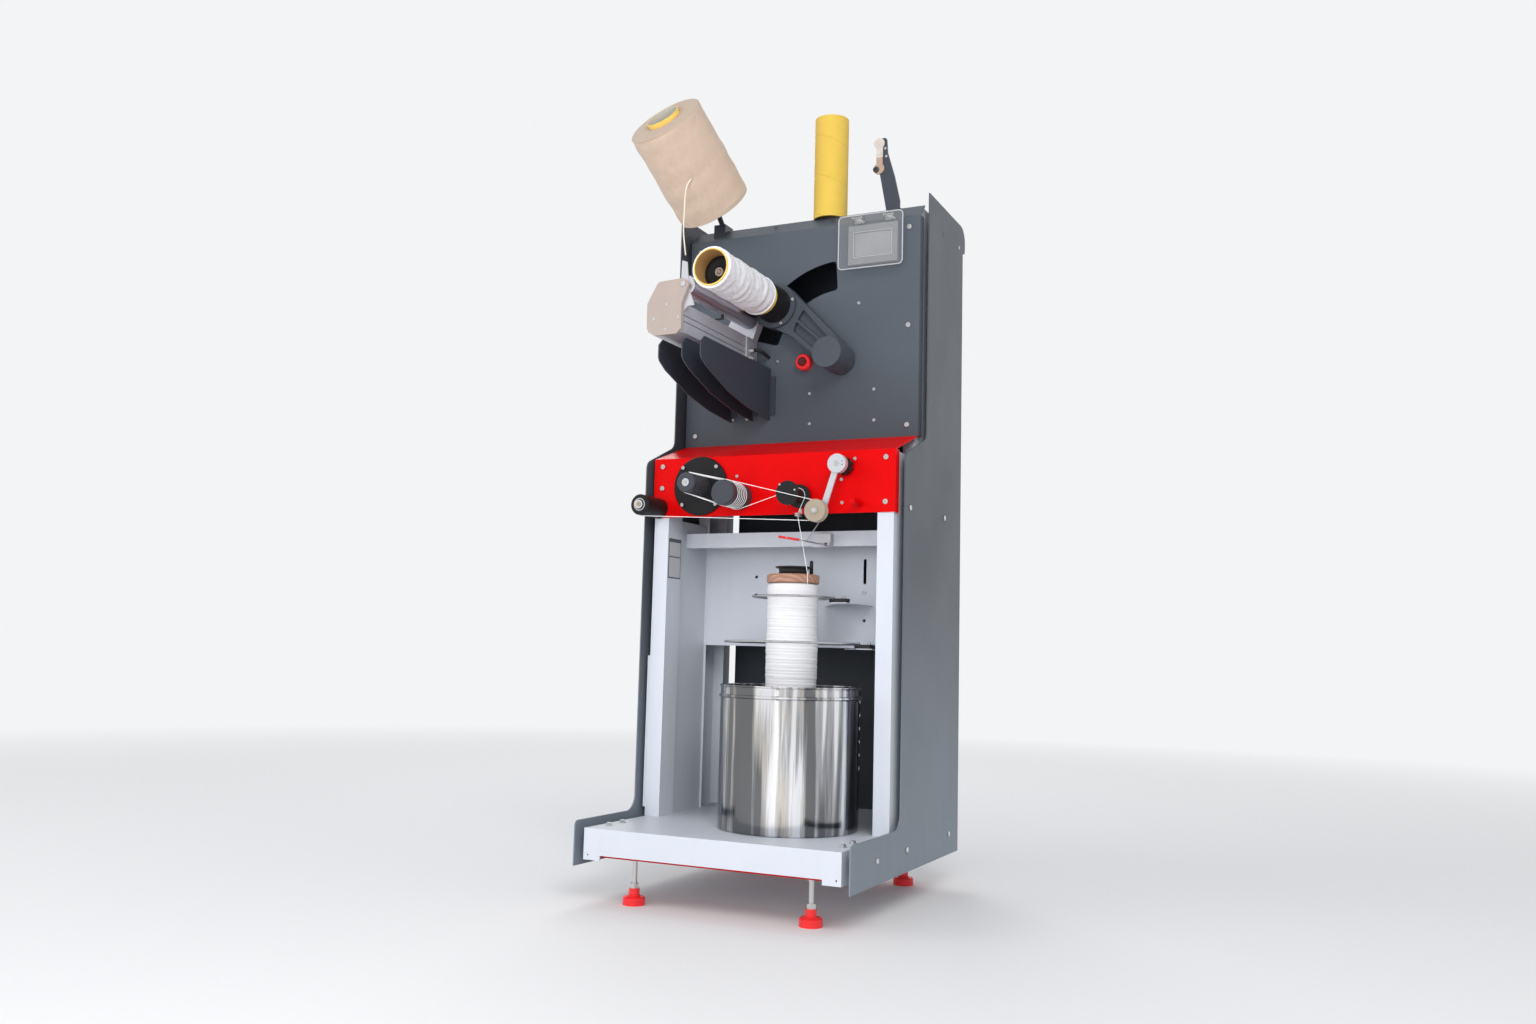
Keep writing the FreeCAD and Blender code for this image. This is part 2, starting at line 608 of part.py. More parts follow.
def arc_slot():
    """The curved window that the spindle motor sweeps through, as a solid to cut with."""
    pivot = Vector(float(d.pivot_x), 0, float(d.pivot_z))
    start = math.radians(float(d.slot_start))
    sweep = math.radians(float(d.slot_sweep))

    def at(radius, angle):
        return pivot + Vector(math.cos(angle), 0, math.sin(angle)) * radius

    inner, outer = float(d.slot_inner), float(d.slot_outer)
    middle, end = start + sweep / 2, start + sweep
    window = Part.Wire([
        Part.Arc(at(inner, start), at(inner, middle), at(inner, end)).toShape(),
        Part.LineSegment(at(inner, end), at(outer, end)).toShape(),
        Part.Arc(at(outer, end), at(outer, middle), at(outer, start)).toShape(),
        Part.LineSegment(at(outer, start), at(inner, start)).toShape(),
    ])
    face = Part.Face(window)
    face.translate(Vector(0, float(d.upper_y) - 1, 0))
    solid = face.extrude(Vector(0, float(d.sheet) + 2, 0))
    corners = [edge for edge in solid.Edges if abs(abs(edge.tangentAt(edge.FirstParameter).y) - 1) < 1e-6]
    return solid.makeFillet(float(d.sheet) * 3, corners)


def upper_screw_places():
    edge = d.front_half_width - d.upper_return
    low, high = d.upper_low + d.upper_return, d.upper_high - d.upper_return
    return [(-edge, low), (-edge, high), (edge, high), (edge, (low + high) / 2), (edge, low)]


def red_front_panel():
    """The red band: an upright face with side returns and a slanted top up to the dark panel."""
    front, half, wall = d.band_y, d.front_half_width, d.sheet
    face = folded(
        [(front, d.band_low), (front, d.band_high), (d.upper_y, d.upper_low)],
        half, [(wall, 0), (wall, -wall * 0.5), (0, -wall * 1.1)],
    )
    sides = []
    for low, high in ((-half, wall - half), (half - wall, half)):
        sides.append(block((low, high), (front, front + d.band_return), (d.band_low, d.band_high)))
    y = (front, front + wall)
    holes = [rod("y", at, y, d.shank_radius) for at in band_screw_places()]
    holes.append(rod("y", (d.feed_x, d.feed_z), y, d.spindle_radius + 1))
    publish("red_front_panel", cut(join(face, *sides), *holes))


def band_screw_places():
    edge = d.post_inner + d.post_width / 2
    high = d.band_high - d.band_return * 0.8
    return [(edge, high), (edge, d.band_low + d.band_return), (-edge, high), (-edge, d.feed_z)]


def rear_cover():
    """The top sheet and back sheet in one bend, with rows of air slots in the back."""
    wall = d.sheet
    top = d.frame_top + wall
    start = d.upper_y + d.chamfer
    back = d.half_depth - wall
    cover = prism("x", [
        (start, d.frame_top), (start, top), (back, top), (back, d.tray_top), (back - wall, d.tray_top),
        (back - wall, d.frame_top),
    ], (-d.cover_half_width, d.cover_half_width))
    slots = []
    for row in range(int(d.cover_slots.number)):
        z = d.tray_top + d.chamfer * (3 + row)
        for side in (-1, 1):
            x = d.cover_half_width * 0.5 * side
            slots.append(block((x - d.chamfer, x + d.chamfer), (back - wall, back),
                               (z, z + wall * 2)))
    publish("rear_cover", cut(cover, *slots))


def panel_screws():
    """All pan-head screws of the panels and of the traverse front plate."""
    screws = [screw("y", at, d.upper_y, -1) for at in upper_screw_places()]
    screws += [screw("y", at, d.band_y, -1) for at in band_screw_places()]
    screws += [screw("y", at, d.plate_front, -1) for at in plate_screw_places()]
    for at, _ in side_screw_places():
        screws.append(screw("x", at, d.half_width, 1))
        screws.append(screw("x", at, -d.half_width, -1))
    publish("panel_screws", group(*screws))


# ---- traverse unit ----

def plate_screw_places():
    x, z = (d.housing_left + d.housing_right) / 2, (d.housing_low + d.housing_high) / 2
    reach = d.plate_thick * 4
    return [(x, z + reach), (x + reach, z), (x - reach, z), (x, z - reach * 0.8)]


def traverse_outline():
    """The rounded lobe shape shared by the front plate and the rear flange, in (x, z)."""
    left, right, low, high = d.housing_left, d.housing_right, d.housing_low, d.housing_high
    lobe = d.roller_radius * 0.6
    edge = d.lobe_edge
    return [
        (left - edge * 2.2, high + edge), (left + edge * 3.4, d.roller_z + lobe * 0.8),
        (d.roller_x, d.roller_z + lobe), (d.roller_x + lobe, d.roller_z),
        (right - edge * 0.4, high - edge * 0.4), (right - edge * 0.2, low + edge * 1.6),
        (right - edge * 2.6, low - edge * 0.8), (left + edge * 2.6, low - edge),
        (left - edge, low + edge * 0.8), (left - edge * 2, low + edge * 2.8),
    ]


def traverse_plates():
    """The thick front plate, and the rear bracket that bolts the unit to the dark panel."""
    outline = traverse_outline()
    back = d.plate_front + d.plate_thick
    seat = (d.roller_x, d.roller_z)
    axle_hole = rod("y", seat, (d.plate_front, d.upper_y), d.axle_radius)
    front = prism("y", outline, (d.plate_front, back), [(d.plate_thick, (2, 3, 4)), (d.guard_foot, (0, 1))])
    drills = [rod("y", at, (d.plate_front, d.plate_front + d.sheet), d.shank_radius)
              for at in plate_screw_places()]
    publish("traverse_front_plate", cut(front, axle_hole, *drills))
    flange = prism("y", outline, (d.bracket_step, d.upper_y), [(d.plate_thick, (2, 3, 4))])
    end_cap = block((d.housing_left, d.housing_right + d.sheet), (d.housing_back, d.bracket_step),
                    (d.housing_low, d.housing_high))
    rear = cut(join(flange, end_cap), rod("y", seat, (d.bracket_step, d.upper_y), d.axle_radius))
    publish("traverse_rear_bracket", rear)


def traverse_housing():
    """An extruded body: two grooves on its right side and the guide's slot along its top."""
    y = (d.plate_front + d.plate_thick + d.blade_thick, d.housing_back)
    body = block((d.housing_left, d.housing_right), y, (d.housing_low, d.housing_high))
    cuts = []
    for step in (0, 1):
        low = d.groove_low + d.groove_gap * step
        cuts.append(block((d.housing_right - d.groove_depth, d.housing_right), y,
                          (low, low + d.groove_width)))
    half = d.guide_slot_width / 2
    cuts.append(block((d.guide_slot_x - half, d.guide_slot_x + half), y,
                      (d.housing_high - d.guide_slot_depth, d.housing_high)))
    core = (d.housing_left + d.housing_right) / 2 - half * 3
    middle = (d.housing_low + d.housing_high) / 2
    cuts.append(rod("y", (core, middle), y, d.roller_radius))
    publish("traverse_housing", cut(body, *cuts))


def threading_blade():
    """The thin upright blade behind the front plate that leads the yarn in by hand."""
    y = (d.plate_front + d.plate_thick, d.plate_front + d.plate_thick + d.blade_thick)
    x, z, r = d.roller_x, d.roller_z, d.roller_radius
    blade = prism("y", [
        (x - r * 0.43, z + r * 2.57), (x + r * 0.17, z + r * 2.3), (x + r * 0.43, z - r * 0.35),
        (x + r * 1.13, z - r * 2.17), (x + r * 0.35, z - r * 2.17), (x - r * 0.17, z - r * 2.87),
        (x - r * 0.87, z - r * 2.87), (x - r * 0.52, z - r * 0.57),
    ], y, [(d.blade_thick, (0, 1, 3))])
    filler = block((d.housing_left, d.housing_right), y, (d.housing_low, d.housing_high - d.groove_gap))
    publish("threading_blade", cut(join(blade, filler), rod("y", (x, z), y, d.axle_radius)))


def traverse_guide():
    """The shuttle in the top slot with a thin finger that carries the yarn to the roller."""
    middle = (d.plate_front + d.plate_thick + d.blade_thick + d.housing_back) / 2
    half = d.guide_length / 2
    wide = d.guide_slot_width / 2 - d.seat_gap
    floor = d.housing_high - d.guide_slot_depth + d.seat_gap
    thick = d.guide_thick
    shuttle = block((d.guide_slot_x - wide, d.guide_slot_x + wide), (middle - half, middle + half),
                    (floor, d.housing_high + thick))
    stem = block((d.guide_slot_x - wide, d.guide_tip_x), (middle - thick * 2, middle + thick * 2),
                 (d.housing_high + thick, d.housing_high + thick * 2))
    finger = block((d.guide_tip_x - thick * 2, d.guide_tip_x), (middle - thick * 2, middle + thick * 2),
                   (d.housing_high + thick, d.guide_tip_z))
    notch = block((d.guide_tip_x - thick * 2, d.guide_tip_x), (middle - thick / 2, middle + thick / 2),
                  (d.guide_tip_z - thick * 2, d.guide_tip_z))
    publish("traverse_guide", cut(join(shuttle, stem, finger), notch))


def contact_roller():
    front = d.plate_front + d.plate_thick + d.blade_thick + d.side_gap
    back = d.roller_back
    at = (d.roller_x, d.roller_z)
    bore = d.axle_radius + d.running_gap
    edge = d.blade_thick
    publish("contact_roller", turned("y", at, [
        (bore, front), (d.roller_radius - edge, front), (d.roller_radius, front + edge),
        (d.roller_radius, back - edge), (d.roller_radius - edge, back), (bore, back),
    ]))


def guard_plates():
    """Three dark plates under the traverse unit, each with a small foot on the panel."""
    top = d.housing_low - d.lobe_edge - d.seat_gap
    front, drop = d.guard_front, d.guard_drop
    reach = d.upper_y - front
    outline = [
        (d.upper_y, top), (front + d.guard_foot, top), (front, top - d.guard_foot),
        (front, top - drop * 0.38), (front + reach * 0.09, top - drop * 0.52),
        (front + reach * 0.39, top - drop * 0.79), (front + reach * 0.67, top - drop * 0.93),
        (d.upper_y, top - drop),
    ]
    plates = []
    for x in (d.guard_left, d.guard_middle, d.guard_right):
        sheet = prism("x", outline, (x - d.sheet / 2, x + d.sheet / 2), [(d.guard_foot, (3, 4))])
        foot = block((x, x + d.guard_foot), (d.upper_y - d.sheet, d.upper_y),
                     (top - drop * 0.9, top - drop * 0.15))
        plates.append(join(sheet, foot))
    publish("guard_plates", group(*plates))


# ---- package arm and spindle ----

def spindle_place():
    return (d.pivot_x + d.arm_length * cosine(d.arm_angle),
            d.pivot_z + d.arm_length * sine(d.arm_angle))


def package_arm():
    """A cast arm: round pivot housing, waisted web with two recessed pockets, bearing flange."""
    reach, front, back = d.arm_length, d.arm_front, d.arm_back
    end, pivot = d.arm_end_radius, d.pivot_radius
    web = prism("y", [
        (0, -pivot), (reach * 0.74, -end * 0.9), (reach, -end), (reach, end), (reach * 0.8, end * 0.74),
        (reach * 0.6, pivot * 0.82), (reach * 0.25, pivot * 0.78), (0, pivot),
    ], (front, back), [(d.arm_length * 0.3, (4, 5))])
    boss_back = d.upper_y - d.side_gap
    parts = [
        web,
        rod("y", (0, 0), (d.pivot_front, boss_back), pivot),
        rod("y", (reach, 0), (d.flange_front, back), end),
    ]
    floor = front + d.pocket_depth
    rim = d.pocket_depth * 0.6
    split = rim * 0.4
    pockets = [
        prism("y", [(pivot * 1.35, -pivot * 0.7), (reach * 0.69, -end * 0.68), (reach * 0.67, -split - rim),
                    (pivot * 1.35, -split - rim)], (front, floor), [(d.pocket_depth / 3, (0, 1, 2, 3))]),
        prism("y", [(pivot * 1.35, split - rim), (reach * 0.67, split - rim), (reach * 0.62, pivot * 0.5),
                    (pivot * 1.35, pivot * 0.5)], (front, floor), [(d.pocket_depth / 3, (0, 1, 2, 3))]),
    ]
    bores = [
        rod("y", (0, 0), (d.pivot_front + d.plate_thick, boss_back), d.pivot_shaft + d.running_gap),
        rod("y", (reach, 0), (d.flange_front, back), d.spindle_radius + d.running_gap),
    ]
    arm = cut(join(*parts), *pockets, *bores)
    arm.Placement.Rotation = Rotation(Vector(0, -1, 0), float(d.arm_angle))
    bind(arm, "Placement.Rotation.Angle", d.arm_angle)
    place(arm, (d.pivot_x, 0, d.pivot_z))
    publish("package_arm", arm)


def spindle_motor():
    at = spindle_place()
    start = d.arm_back
    end = start + d.motor_length
    bore = d.spindle_radius + d.running_gap
    rim = d.motor_radius
    edge = d.sheet
    publish("spindle_motor", turned("y", at, [
        (bore, start), (rim, start), (rim, end - edge), (rim - edge, end), (0, end),
        (0, start + d.motor_length / 2), (bore, start + d.motor_length / 2),
    ]))


def spindle():
    """The shaft with its hub and the expanding chuck that holds the tube from inside."""
    at = spindle_place()
    tube_back = d.tube_front + d.tube_length
    chuck_front = tube_back - d.chuck_length
    chuck = d.tube_outer - d.tube_wall
    hub_back = d.flange_front - d.side_gap
    shaft_end = d.arm_back + d.motor_length / 2 - d.side_gap
    body = turned("y", at, [
        (0, chuck_front - d.nose_length), (d.nose_radius, chuck_front - d.nose_length),
        (d.nose_radius, chuck_front), (chuck - d.sheet, chuck_front), (chuck, chuck_front + d.sheet),
        (chuck, tube_back), (d.hub_radius, tube_back), (d.hub_radius, hub_back),
        (d.spindle_radius, hub_back), (d.spindle_radius, shaft_end), (0, shaft_end),
    ])
    jaws = []
    x, z = at
    for across in ((d.sheet / 2, chuck), (chuck, d.sheet / 2)):
        jaws.append(block((x - across[0], x + across[0]), (chuck_front, tube_back - d.nose_length),
                          (z - across[1], z + across[1])))
    keep = rod("y", at, (chuck_front, tube_back), chuck * 0.6)
    publish("spindle", cut(body, cut(group(*jaws), keep)))


def winding_tube():
    span = (d.tube_front, d.tube_front + d.tube_length)
    publish("winding_tube", sleeve("y", spindle_place(), span, d.tube_outer, d.tube_outer - d.tube_wall))


def wound_yarn():
    front = d.tube_front + d.yarn_front_gap
    back = d.tube_front + d.tube_length - d.yarn_back_gap
    shoulder = d.yarn_radius - d.tube_outer
    publish("wound_yarn", turned("y", spindle_place(), [
        (d.tube_outer, front), (d.tube_outer + shoulder / 2, front), (d.yarn_radius, front + shoulder),
        (d.yarn_radius, back - shoulder), (d.tube_outer + shoulder / 2, back), (d.tube_outer, back),
    ]))


# ---- rollers and pulleys ----

def fixed_shafts():
    """The pins that do not turn: arm pivot, contact roller, idler, separator and guide pulley."""
    pivot_at = (d.pivot_x, d.pivot_z)
    tip = d.pivot_front + d.plate_thick + d.side_gap
    flange_back = d.upper_y + d.sheet + d.plate_thick
    pivot = join(
        rod("y", pivot_at, (tip, flange_back), d.pivot_shaft),
        rod("y", pivot_at, (d.upper_y + d.sheet, flange_back), d.shaft_flange),
    )
    roller_at = (d.roller_x, d.roller_z)
    clip = d.roller_back + d.side_gap
    roller = join(
        rod("y", roller_at, (d.plate_front - d.sheet, d.upper_y), d.axle_radius),
        rod("y", roller_at, (clip, clip + d.clip_thick), d.axle_radius * 1.6),
    )
    idler_at = (d.idler_x, d.idler_z)
    idler_face = d.idler_front - d.side_gap
    idler = join(
        rod("y", idler_at, (idler_face, d.band_y), d.pin_radius),
        rod("y", idler_at, (idler_face - d.plate_thick / 2, idler_face), d.pin_radius * 1.5),
    )
    separator = rod("y", (d.separator_x, d.separator_z),
                    (d.separator_front + d.plate_thick + d.side_gap, d.band_y), d.pin_radius)
    guide = rod("y", (d.pulley_x, d.pulley_z),
                (d.pulley_front + d.plate_thick + d.side_gap, d.band_y), d.pin_radius)
    collar = rod("y", (d.pulley_x, d.pulley_z), (d.pulley_back + d.side_gap, d.band_y), d.pin_radius * 1.6)
    publish("fixed_shafts", group(pivot, roller, idler, separator, join(guide, collar)))


def disc_plate():
    y = (d.band_y - d.disc_thick, d.band_y)
    at = (d.disc_x, d.disc_z)
    disc = turned("y", at, [
        (0, y[0]), (d.disc_radius - d.sheet, y[0]), (d.disc_radius, y[0] + d.sheet), (d.disc_radius, y[1]),
        (0, y[1]),
    ])
    heads = [rod("y", (d.disc_x + d.disc_bolt * sx, d.disc_z + d.disc_bolt * sz),
                 (y[0] - d.screw_head, y[0]), d.screw_radius * 0.7)
             for sx in (-1, 1) for sz in (-1, 1)]
    hole = rod("y", (d.feed_x, d.feed_z), y, d.spindle_radius + 1)
    publish("disc_plate", cut(join(disc, *heads), hole))


def grooved(front, back, radius, closed_bore):
    """The profile of a roller with a row of shallow yarn grooves and a blind bore from behind."""
    points = [(0, front), (radius - d.sheet, front), (radius, front + d.sheet)]
    deep = radius - d.yarn_thick
    for number in range(int(d.wraps.number)):
        middle = supply_plane() - d.wrap_pitch * (d.wraps - number)
        half = d.wrap_pitch * 0.2
        points += [(radius, middle - half * 2), (deep, middle - half), (deep, middle + half),
                   (radius, middle + half * 2)]
    return points + [(radius, back), (closed_bore, back)]


def feed_roller():
    """The driven roller, with its own shaft through the disc and the panel into the motor."""
    back = d.band_y - d.disc_thick - d.side_gap
    shaft_end = d.band_y + d.sheet + d.drive_length / 2 - d.side_gap
    points = grooved(d.feed_front, back, d.feed_radius, d.spindle_radius)
    points += [(d.spindle_radius, shaft_end), (0, shaft_end)]
    publish("feed_roller", turned("y", (d.feed_x, d.feed_z), points))


def separator_roller():
    back = d.band_y - d.side_gap
    bore = d.pin_radius + d.running_gap
    depth = d.separator_front + d.plate_thick
    points = grooved(d.separator_front, back, d.separator_radius, bore) + [(bore, depth), (0, depth)]
    publish("separator_roller", turned("y", (d.separator_x, d.separator_z), points))


def idler_roller():
    back = d.band_y - d.side_gap
    bore = d.pin_radius + d.running_gap
    edge = d.sheet
    publish("idler_roller", turned("y", (d.idler_x, d.idler_z), [
        (bore, d.idler_front), (d.idler_radius - edge, d.idler_front),
        (d.idler_radius, d.idler_front + edge), (d.idler_radius, back), (bore, back),
    ]))


def guide_pulley():
    """A long pulley with two flanges and a thinner core."""
    bore = d.pin_radius + d.running_gap
    front, back = d.pulley_front, d.pulley_back
    depth = front + d.plate_thick
    core, rim, flange = d.pulley_core, d.pulley_radius, d.pulley_flange
    publish("guide_pulley", turned("y", (d.pulley_x, d.pulley_z), [
        (0, front), (rim, front), (rim, front + flange), (core, front + flange * 2),
        (core, back - flange * 2), (rim, back - flange), (rim, back), (bore, back), (bore, depth),
        (0, depth),
    ]))


def drive_motors():
    """The feed motor behind the red band and the traverse motor behind the dark panel."""
    half = d.motor_half
    feed_front = d.band_y + d.sheet
    traverse_front = d.upper_y + d.sheet
    feed_back = feed_front + d.drive_length
    traverse_x = (d.housing_left + d.housing_right) / 2
    traverse_z = (d.housing_low + d.housing_high) / 2
    feed = cut(
        square_motor(d.feed_x, d.feed_z, feed_front, feed_back, half),
        rod("y", (d.feed_x, d.feed_z), (feed_front, feed_front + d.drive_length / 2),
            d.spindle_radius + d.running_gap),
    )
    traverse = square_motor(traverse_x, traverse_z, traverse_front, traverse_front + d.drive_length, half)
    publish("drive_motors", group(feed, traverse))


def square_motor(x, z, front, back, half):
    corner = half * 0.25
    return prism("y", [
        (x - half + corner, z - half), (x + half - corner, z - half), (x + half, z - half + corner),
        (x + half, z + half - corner), (x + half - corner, z + half), (x - half + corner, z + half),
        (x - half, z + half - corner), (x - half, z - half + corner),
    ], (front, back))


# ---- dancer ----

def dancer_hub():
    """The lobed black knob on the panel with the pin that the dancer arm swings on."""
    at = (d.dancer_x, d.dancer_z)
    y = (d.band_y - d.knob_depth, d.band_y)
    knob = rod("y", at, y, d.knob_radius)
    lobes = []
    for number in range(8):
        angle = math.radians(45 * number)
        reach = d.knob_radius
        lobes.append(rod("y", (d.dancer_x + reach * math.cos(angle), d.dancer_z + reach * math.sin(angle)),
                         y, d.knob_radius * 0.2))
    pin_tip = d.dancer_front + d.dancer_bar + d.side_gap
    pin = rod("y", at, (pin_tip, y[0]), d.pin_radius)
    publish("dancer_hub", join(cut(knob, *lobes), pin))


def dancer_arm():
    """A round cap on the hub pin, a flat bar down to the pulley and the pulley's own pin."""
    at = (d.dancer_x, d.dancer_z)
    low = (d.dancer_pulley_x, d.dancer_pulley_z)
    cap_y = (d.dancer_front, d.dancer_cap_back)
    bar_y = (d.dancer_front + d.dancer_bar, d.dancer_front + d.dancer_bar * 2)
    across_x, across_z = float(low[0] - at[0]), float(low[1] - at[1])
    length = math.hypot(across_x, across_z)
    side = (-across_z / length, across_x / length)
    half = d.dancer_bar_half
    bar = prism("y", [
        (at[0] + half * side[0], at[1] + half * side[1]),
        (low[0] + half * side[0], low[1] + half * side[1]),
        (low[0] - half * side[0], low[1] - half * side[1]),
        (at[0] - half * side[0], at[1] - half * side[1]),
    ], bar_y)
    pulley_tip = d.dancer_pulley_front - d.side_gap
    parts = [
        rod("y", at, cap_y, d.dancer_cap), bar, rod("y", low, bar_y, half),
        rod("y", low, (pulley_tip, bar_y[1]), d.pin_radius * 0.6),
        rod("y", low, (pulley_tip - d.sheet, pulley_tip), d.pin_radius),
    ]
    bore = rod("y", at, (d.dancer_front + d.dancer_bar, d.dancer_cap_back + d.dancer_bar),
               d.pin_radius + d.running_gap)
    publish("dancer_arm", cut(join(*parts), bore))


def dancer_pulley():
    front = d.dancer_pulley_front
    back = front + d.dancer_pulley_width
    middle = (front + back) / 2
    bore = d.pin_radius * 0.6 + d.running_gap
    rim, wide = d.dancer_pulley_radius, d.dancer_pulley_width / 3
    core = rim - d.dancer_groove
    publish("dancer_pulley", turned("y", (d.dancer_pulley_x, d.dancer_pulley_z), [
        (bore, front), (rim - 1, front), (rim, front + 1), (rim, middle - wide), (core, middle - wide / 3),
        (core, middle + wide / 3), (rim, middle + wide), (rim, back - 1), (rim - 1, back), (bore, back),
    ]))


def stop_peg():
    y = (d.band_y - d.peg_length, d.band_y)
    publish("stop_peg", turned("y", (d.peg_x, d.peg_z), [
        (0, y[0]), (d.peg_radius - 2, y[0]), (d.peg_radius, y[0] + 2), (d.peg_radius, y[1]), (0, y[1]),
    ]))


# ---- supply ----

def catch_can():
    """A thin polished can, open at the top, with a rolled bead below its rim."""
    wall, radius = d.can_wall, d.can_radius
    low = d.tray_top
    top = low + d.can_height
    bead = top - d.bead_drop
    publish("catch_can", turned("z", (d.can_x, d.can_y), [
        (0, low), (radius, low), (radius, bead - d.bead), (radius + d.bead, bead - d.bead / 2),
        (radius + d.bead, bead + d.bead / 2), (radius, bead + d.bead), (radius, top),
        (radius - wall, top), (radius - wall, low + wall), (0, low + wall),
    ]))


def spool_top():
    return d.wire_pivot_z - d.spool_drop


def supply_spool():
    at = (d.can_x, d.can_y)
    floor = d.tray_top + d.can_wall
    yarn_low = floor + d.foot_flange_thick
    flange_top = spool_top() + d.flange_thick
    edge = d.sheet
    publish("supply_yarn", turned("z", at, [
        (0, yarn_low), (d.spool_radius - edge, yarn_low), (d.spool_radius, yarn_low + edge),
        (d.spool_radius, spool_top() - edge), (d.spool_radius - edge, spool_top()), (0, spool_top()),
    ]))
    top = turned("z", at, [
        (0, spool_top()), (d.spool_radius - d.spool_edge, spool_top()),
        (d.spool_radius, spool_top() + d.spool_edge),
        (d.spool_radius, flange_top - edge), (d.spool_radius - edge, flange_top), (0, flange_top),
    ])
    foot = rod("z", at, (floor, yarn_low), d.foot_flange)
    publish("spool_flanges", group(top, foot))
    neck_top = flange_top + d.knob_neck_height
    knob_top = neck_top + d.knob_flange_height
    publish("spool_knob", turned("z", at, [
        (0, flange_top), (d.knob_neck, flange_top), (d.knob_neck, neck_top), (d.knob_flange, neck_top),
        (d.knob_flange, knob_top - d.spool_edge), (d.knob_flange - d.spool_edge, knob_top),
        (d.knob_peg, knob_top),
        (d.knob_peg, knob_top + d.knob_peg_height), (0, knob_top + d.knob_peg_height),
    ]))


def balloon_ring(radius, z):
    ring = doc.addObject("Part::Torus", "Ring")
    bind(ring, "Radius1", radius)
    bind(ring, "Radius2", d.ring_wire)
    place(ring, (d.can_x, d.can_y, z))
    return ring


def balloon_rings():
    """Two wire rings round the spool, each clamped in a block on a bracket from the back plate."""
    rings = []
    holders = []
    for radius, z in ((d.upper_ring, d.upper_ring_z), (d.lower_ring, d.lower_ring_z)):
        rings.append(balloon_ring(radius, z))
        x = d.can_x + radius * cosine(d.ring_angle)
        y = d.can_y + radius * sine(d.ring_angle)
        left = x - d.ring_wire * 3
        right = left + d.ring_block
        half = d.ring_block_height / 2
        clamp = block((left, right), (y - d.ring_block_depth / 2, y + d.ring_block_depth / 2),
                      (z - half, z + half))
        holders.append(cut(clamp, balloon_ring(radius, z)))
        back = d.frame_front - d.inner_sheet
        bracket = join(
            block((right, right + d.sheet), (y - d.ring_block_depth / 2, back), (z - half, z + half)),
            block((right, right + d.guard_foot), (back - d.sheet, back), (z - half, z + half)),
        )
        holders.append(bracket)
    publish("balloon_rings", group(*rings))
    publish("ring_holders", group(*holders))


def stop_sensor():
    """The sensor box on the crossbar, with two ears and the pin of the drop wire."""
    y = d.wire_pivot_y
    z = d.wire_pivot_z
    box = block((d.sensor_left, d.sensor_right), (d.bar_front - d.sensor_depth, d.bar_front),
                (d.sensor_low, d.sensor_high))
    ears = []
    for low in (d.sensor_right - d.ear_width, d.sensor_right - d.ear_width * 5):
        ears.append(block((low, low + d.ear_width), (y - d.barrel_radius, d.bar_front - d.sensor_depth),
                          (z - d.barrel_radius, z + d.barrel_radius)))
    pin = rod("x", (y, z), (d.sensor_right - d.ear_width * 5, d.sensor_right), d.wire_pin)
    publish("stop_sensor", join(box, *ears, pin))


def drop_wire():
    """A bent wire on a barrel: its elbow rests on the running yarn, its end is a red grip."""
    x_low = d.sensor_right - d.ear_width * 4 + d.seat_gap
    x_high = d.sensor_right - d.ear_width - d.seat_gap
    y, z = d.wire_pivot_y, d.wire_pivot_z
    thick = float(d.wire_radius)
    start = Vector(float(x_low + x_high) / 2, float(y - d.barrel_radius) + thick, float(z))
    reach = float(d.lever_reach)
    sag = start + Vector(0.025, -1, -0.075) * reach
    elbow = wire_touch() + Vector(-1.4, 2.5, 0.7) * thick
    tip = elbow + Vector(-0.72, -0.52, 0.1) * reach
    lever = tube_along(rounded_path([start, sag, elbow, tip]), thick)
    grip = Part.makeCylinder(thick * 2, float(d.grip_length), tip, (tip - elbow).normalize())
    root = elbow * 0.75 + sag * 0.25
    prong_end = root + Vector(0.62, 0.3, 1.08) * reach
    prong = tube_along(Part.Wire([Part.LineSegment(root, prong_end).toShape()]), thick * 0.8)
    low, length = Vector(float(x_low), float(y), float(z)), float(x_high - x_low)
    barrel = Part.makeCylinder(float(d.barrel_radius), length, low, Vector(1, 0, 0))
    bore = Part.makeCylinder(float(d.wire_pin + d.running_gap), length, low, Vector(1, 0, 0))
    publish("drop_wire", feature(barrel.fuse([lever, grip, prong]).cut(bore)))


def supply_plane():
    """How far back the incoming yarn runs, in the guide pulley's rear half."""
    return d.pulley_back - d.pulley_flange * 2 - d.yarn_thick


def wire_touch():
    """Where the incoming yarn passes the drop wire."""
    return Vector(float(d.eyelet_x + d.touch_side), float(supply_plane() + d.touch_back),
                  float(d.wire_pivot_z))


def yarn_eyelet():
    """A small eye under the red band, on a tab from its front face."""
    z = (d.band_low - d.eyelet_height, d.band_low)
    y = supply_plane()
    eye = rod("z", (d.eyelet_x, y), z, d.eyelet_radius)
    tab = block((d.eyelet_x - d.sheet, d.eyelet_x + d.sheet), (y, d.band_y), z)
    seat = block((d.eyelet_x - d.sheet, d.eyelet_x + d.sheet), (d.band_y - d.sheet, d.band_y),
                 (z[0], z[1] + d.eyelet_height * 2))
    hole = rod("z", (d.eyelet_x, y), z, d.eyelet_hole)
    publish("yarn_eyelet", cut(join(eye, tab, seat), hole))


# ---- controls ----

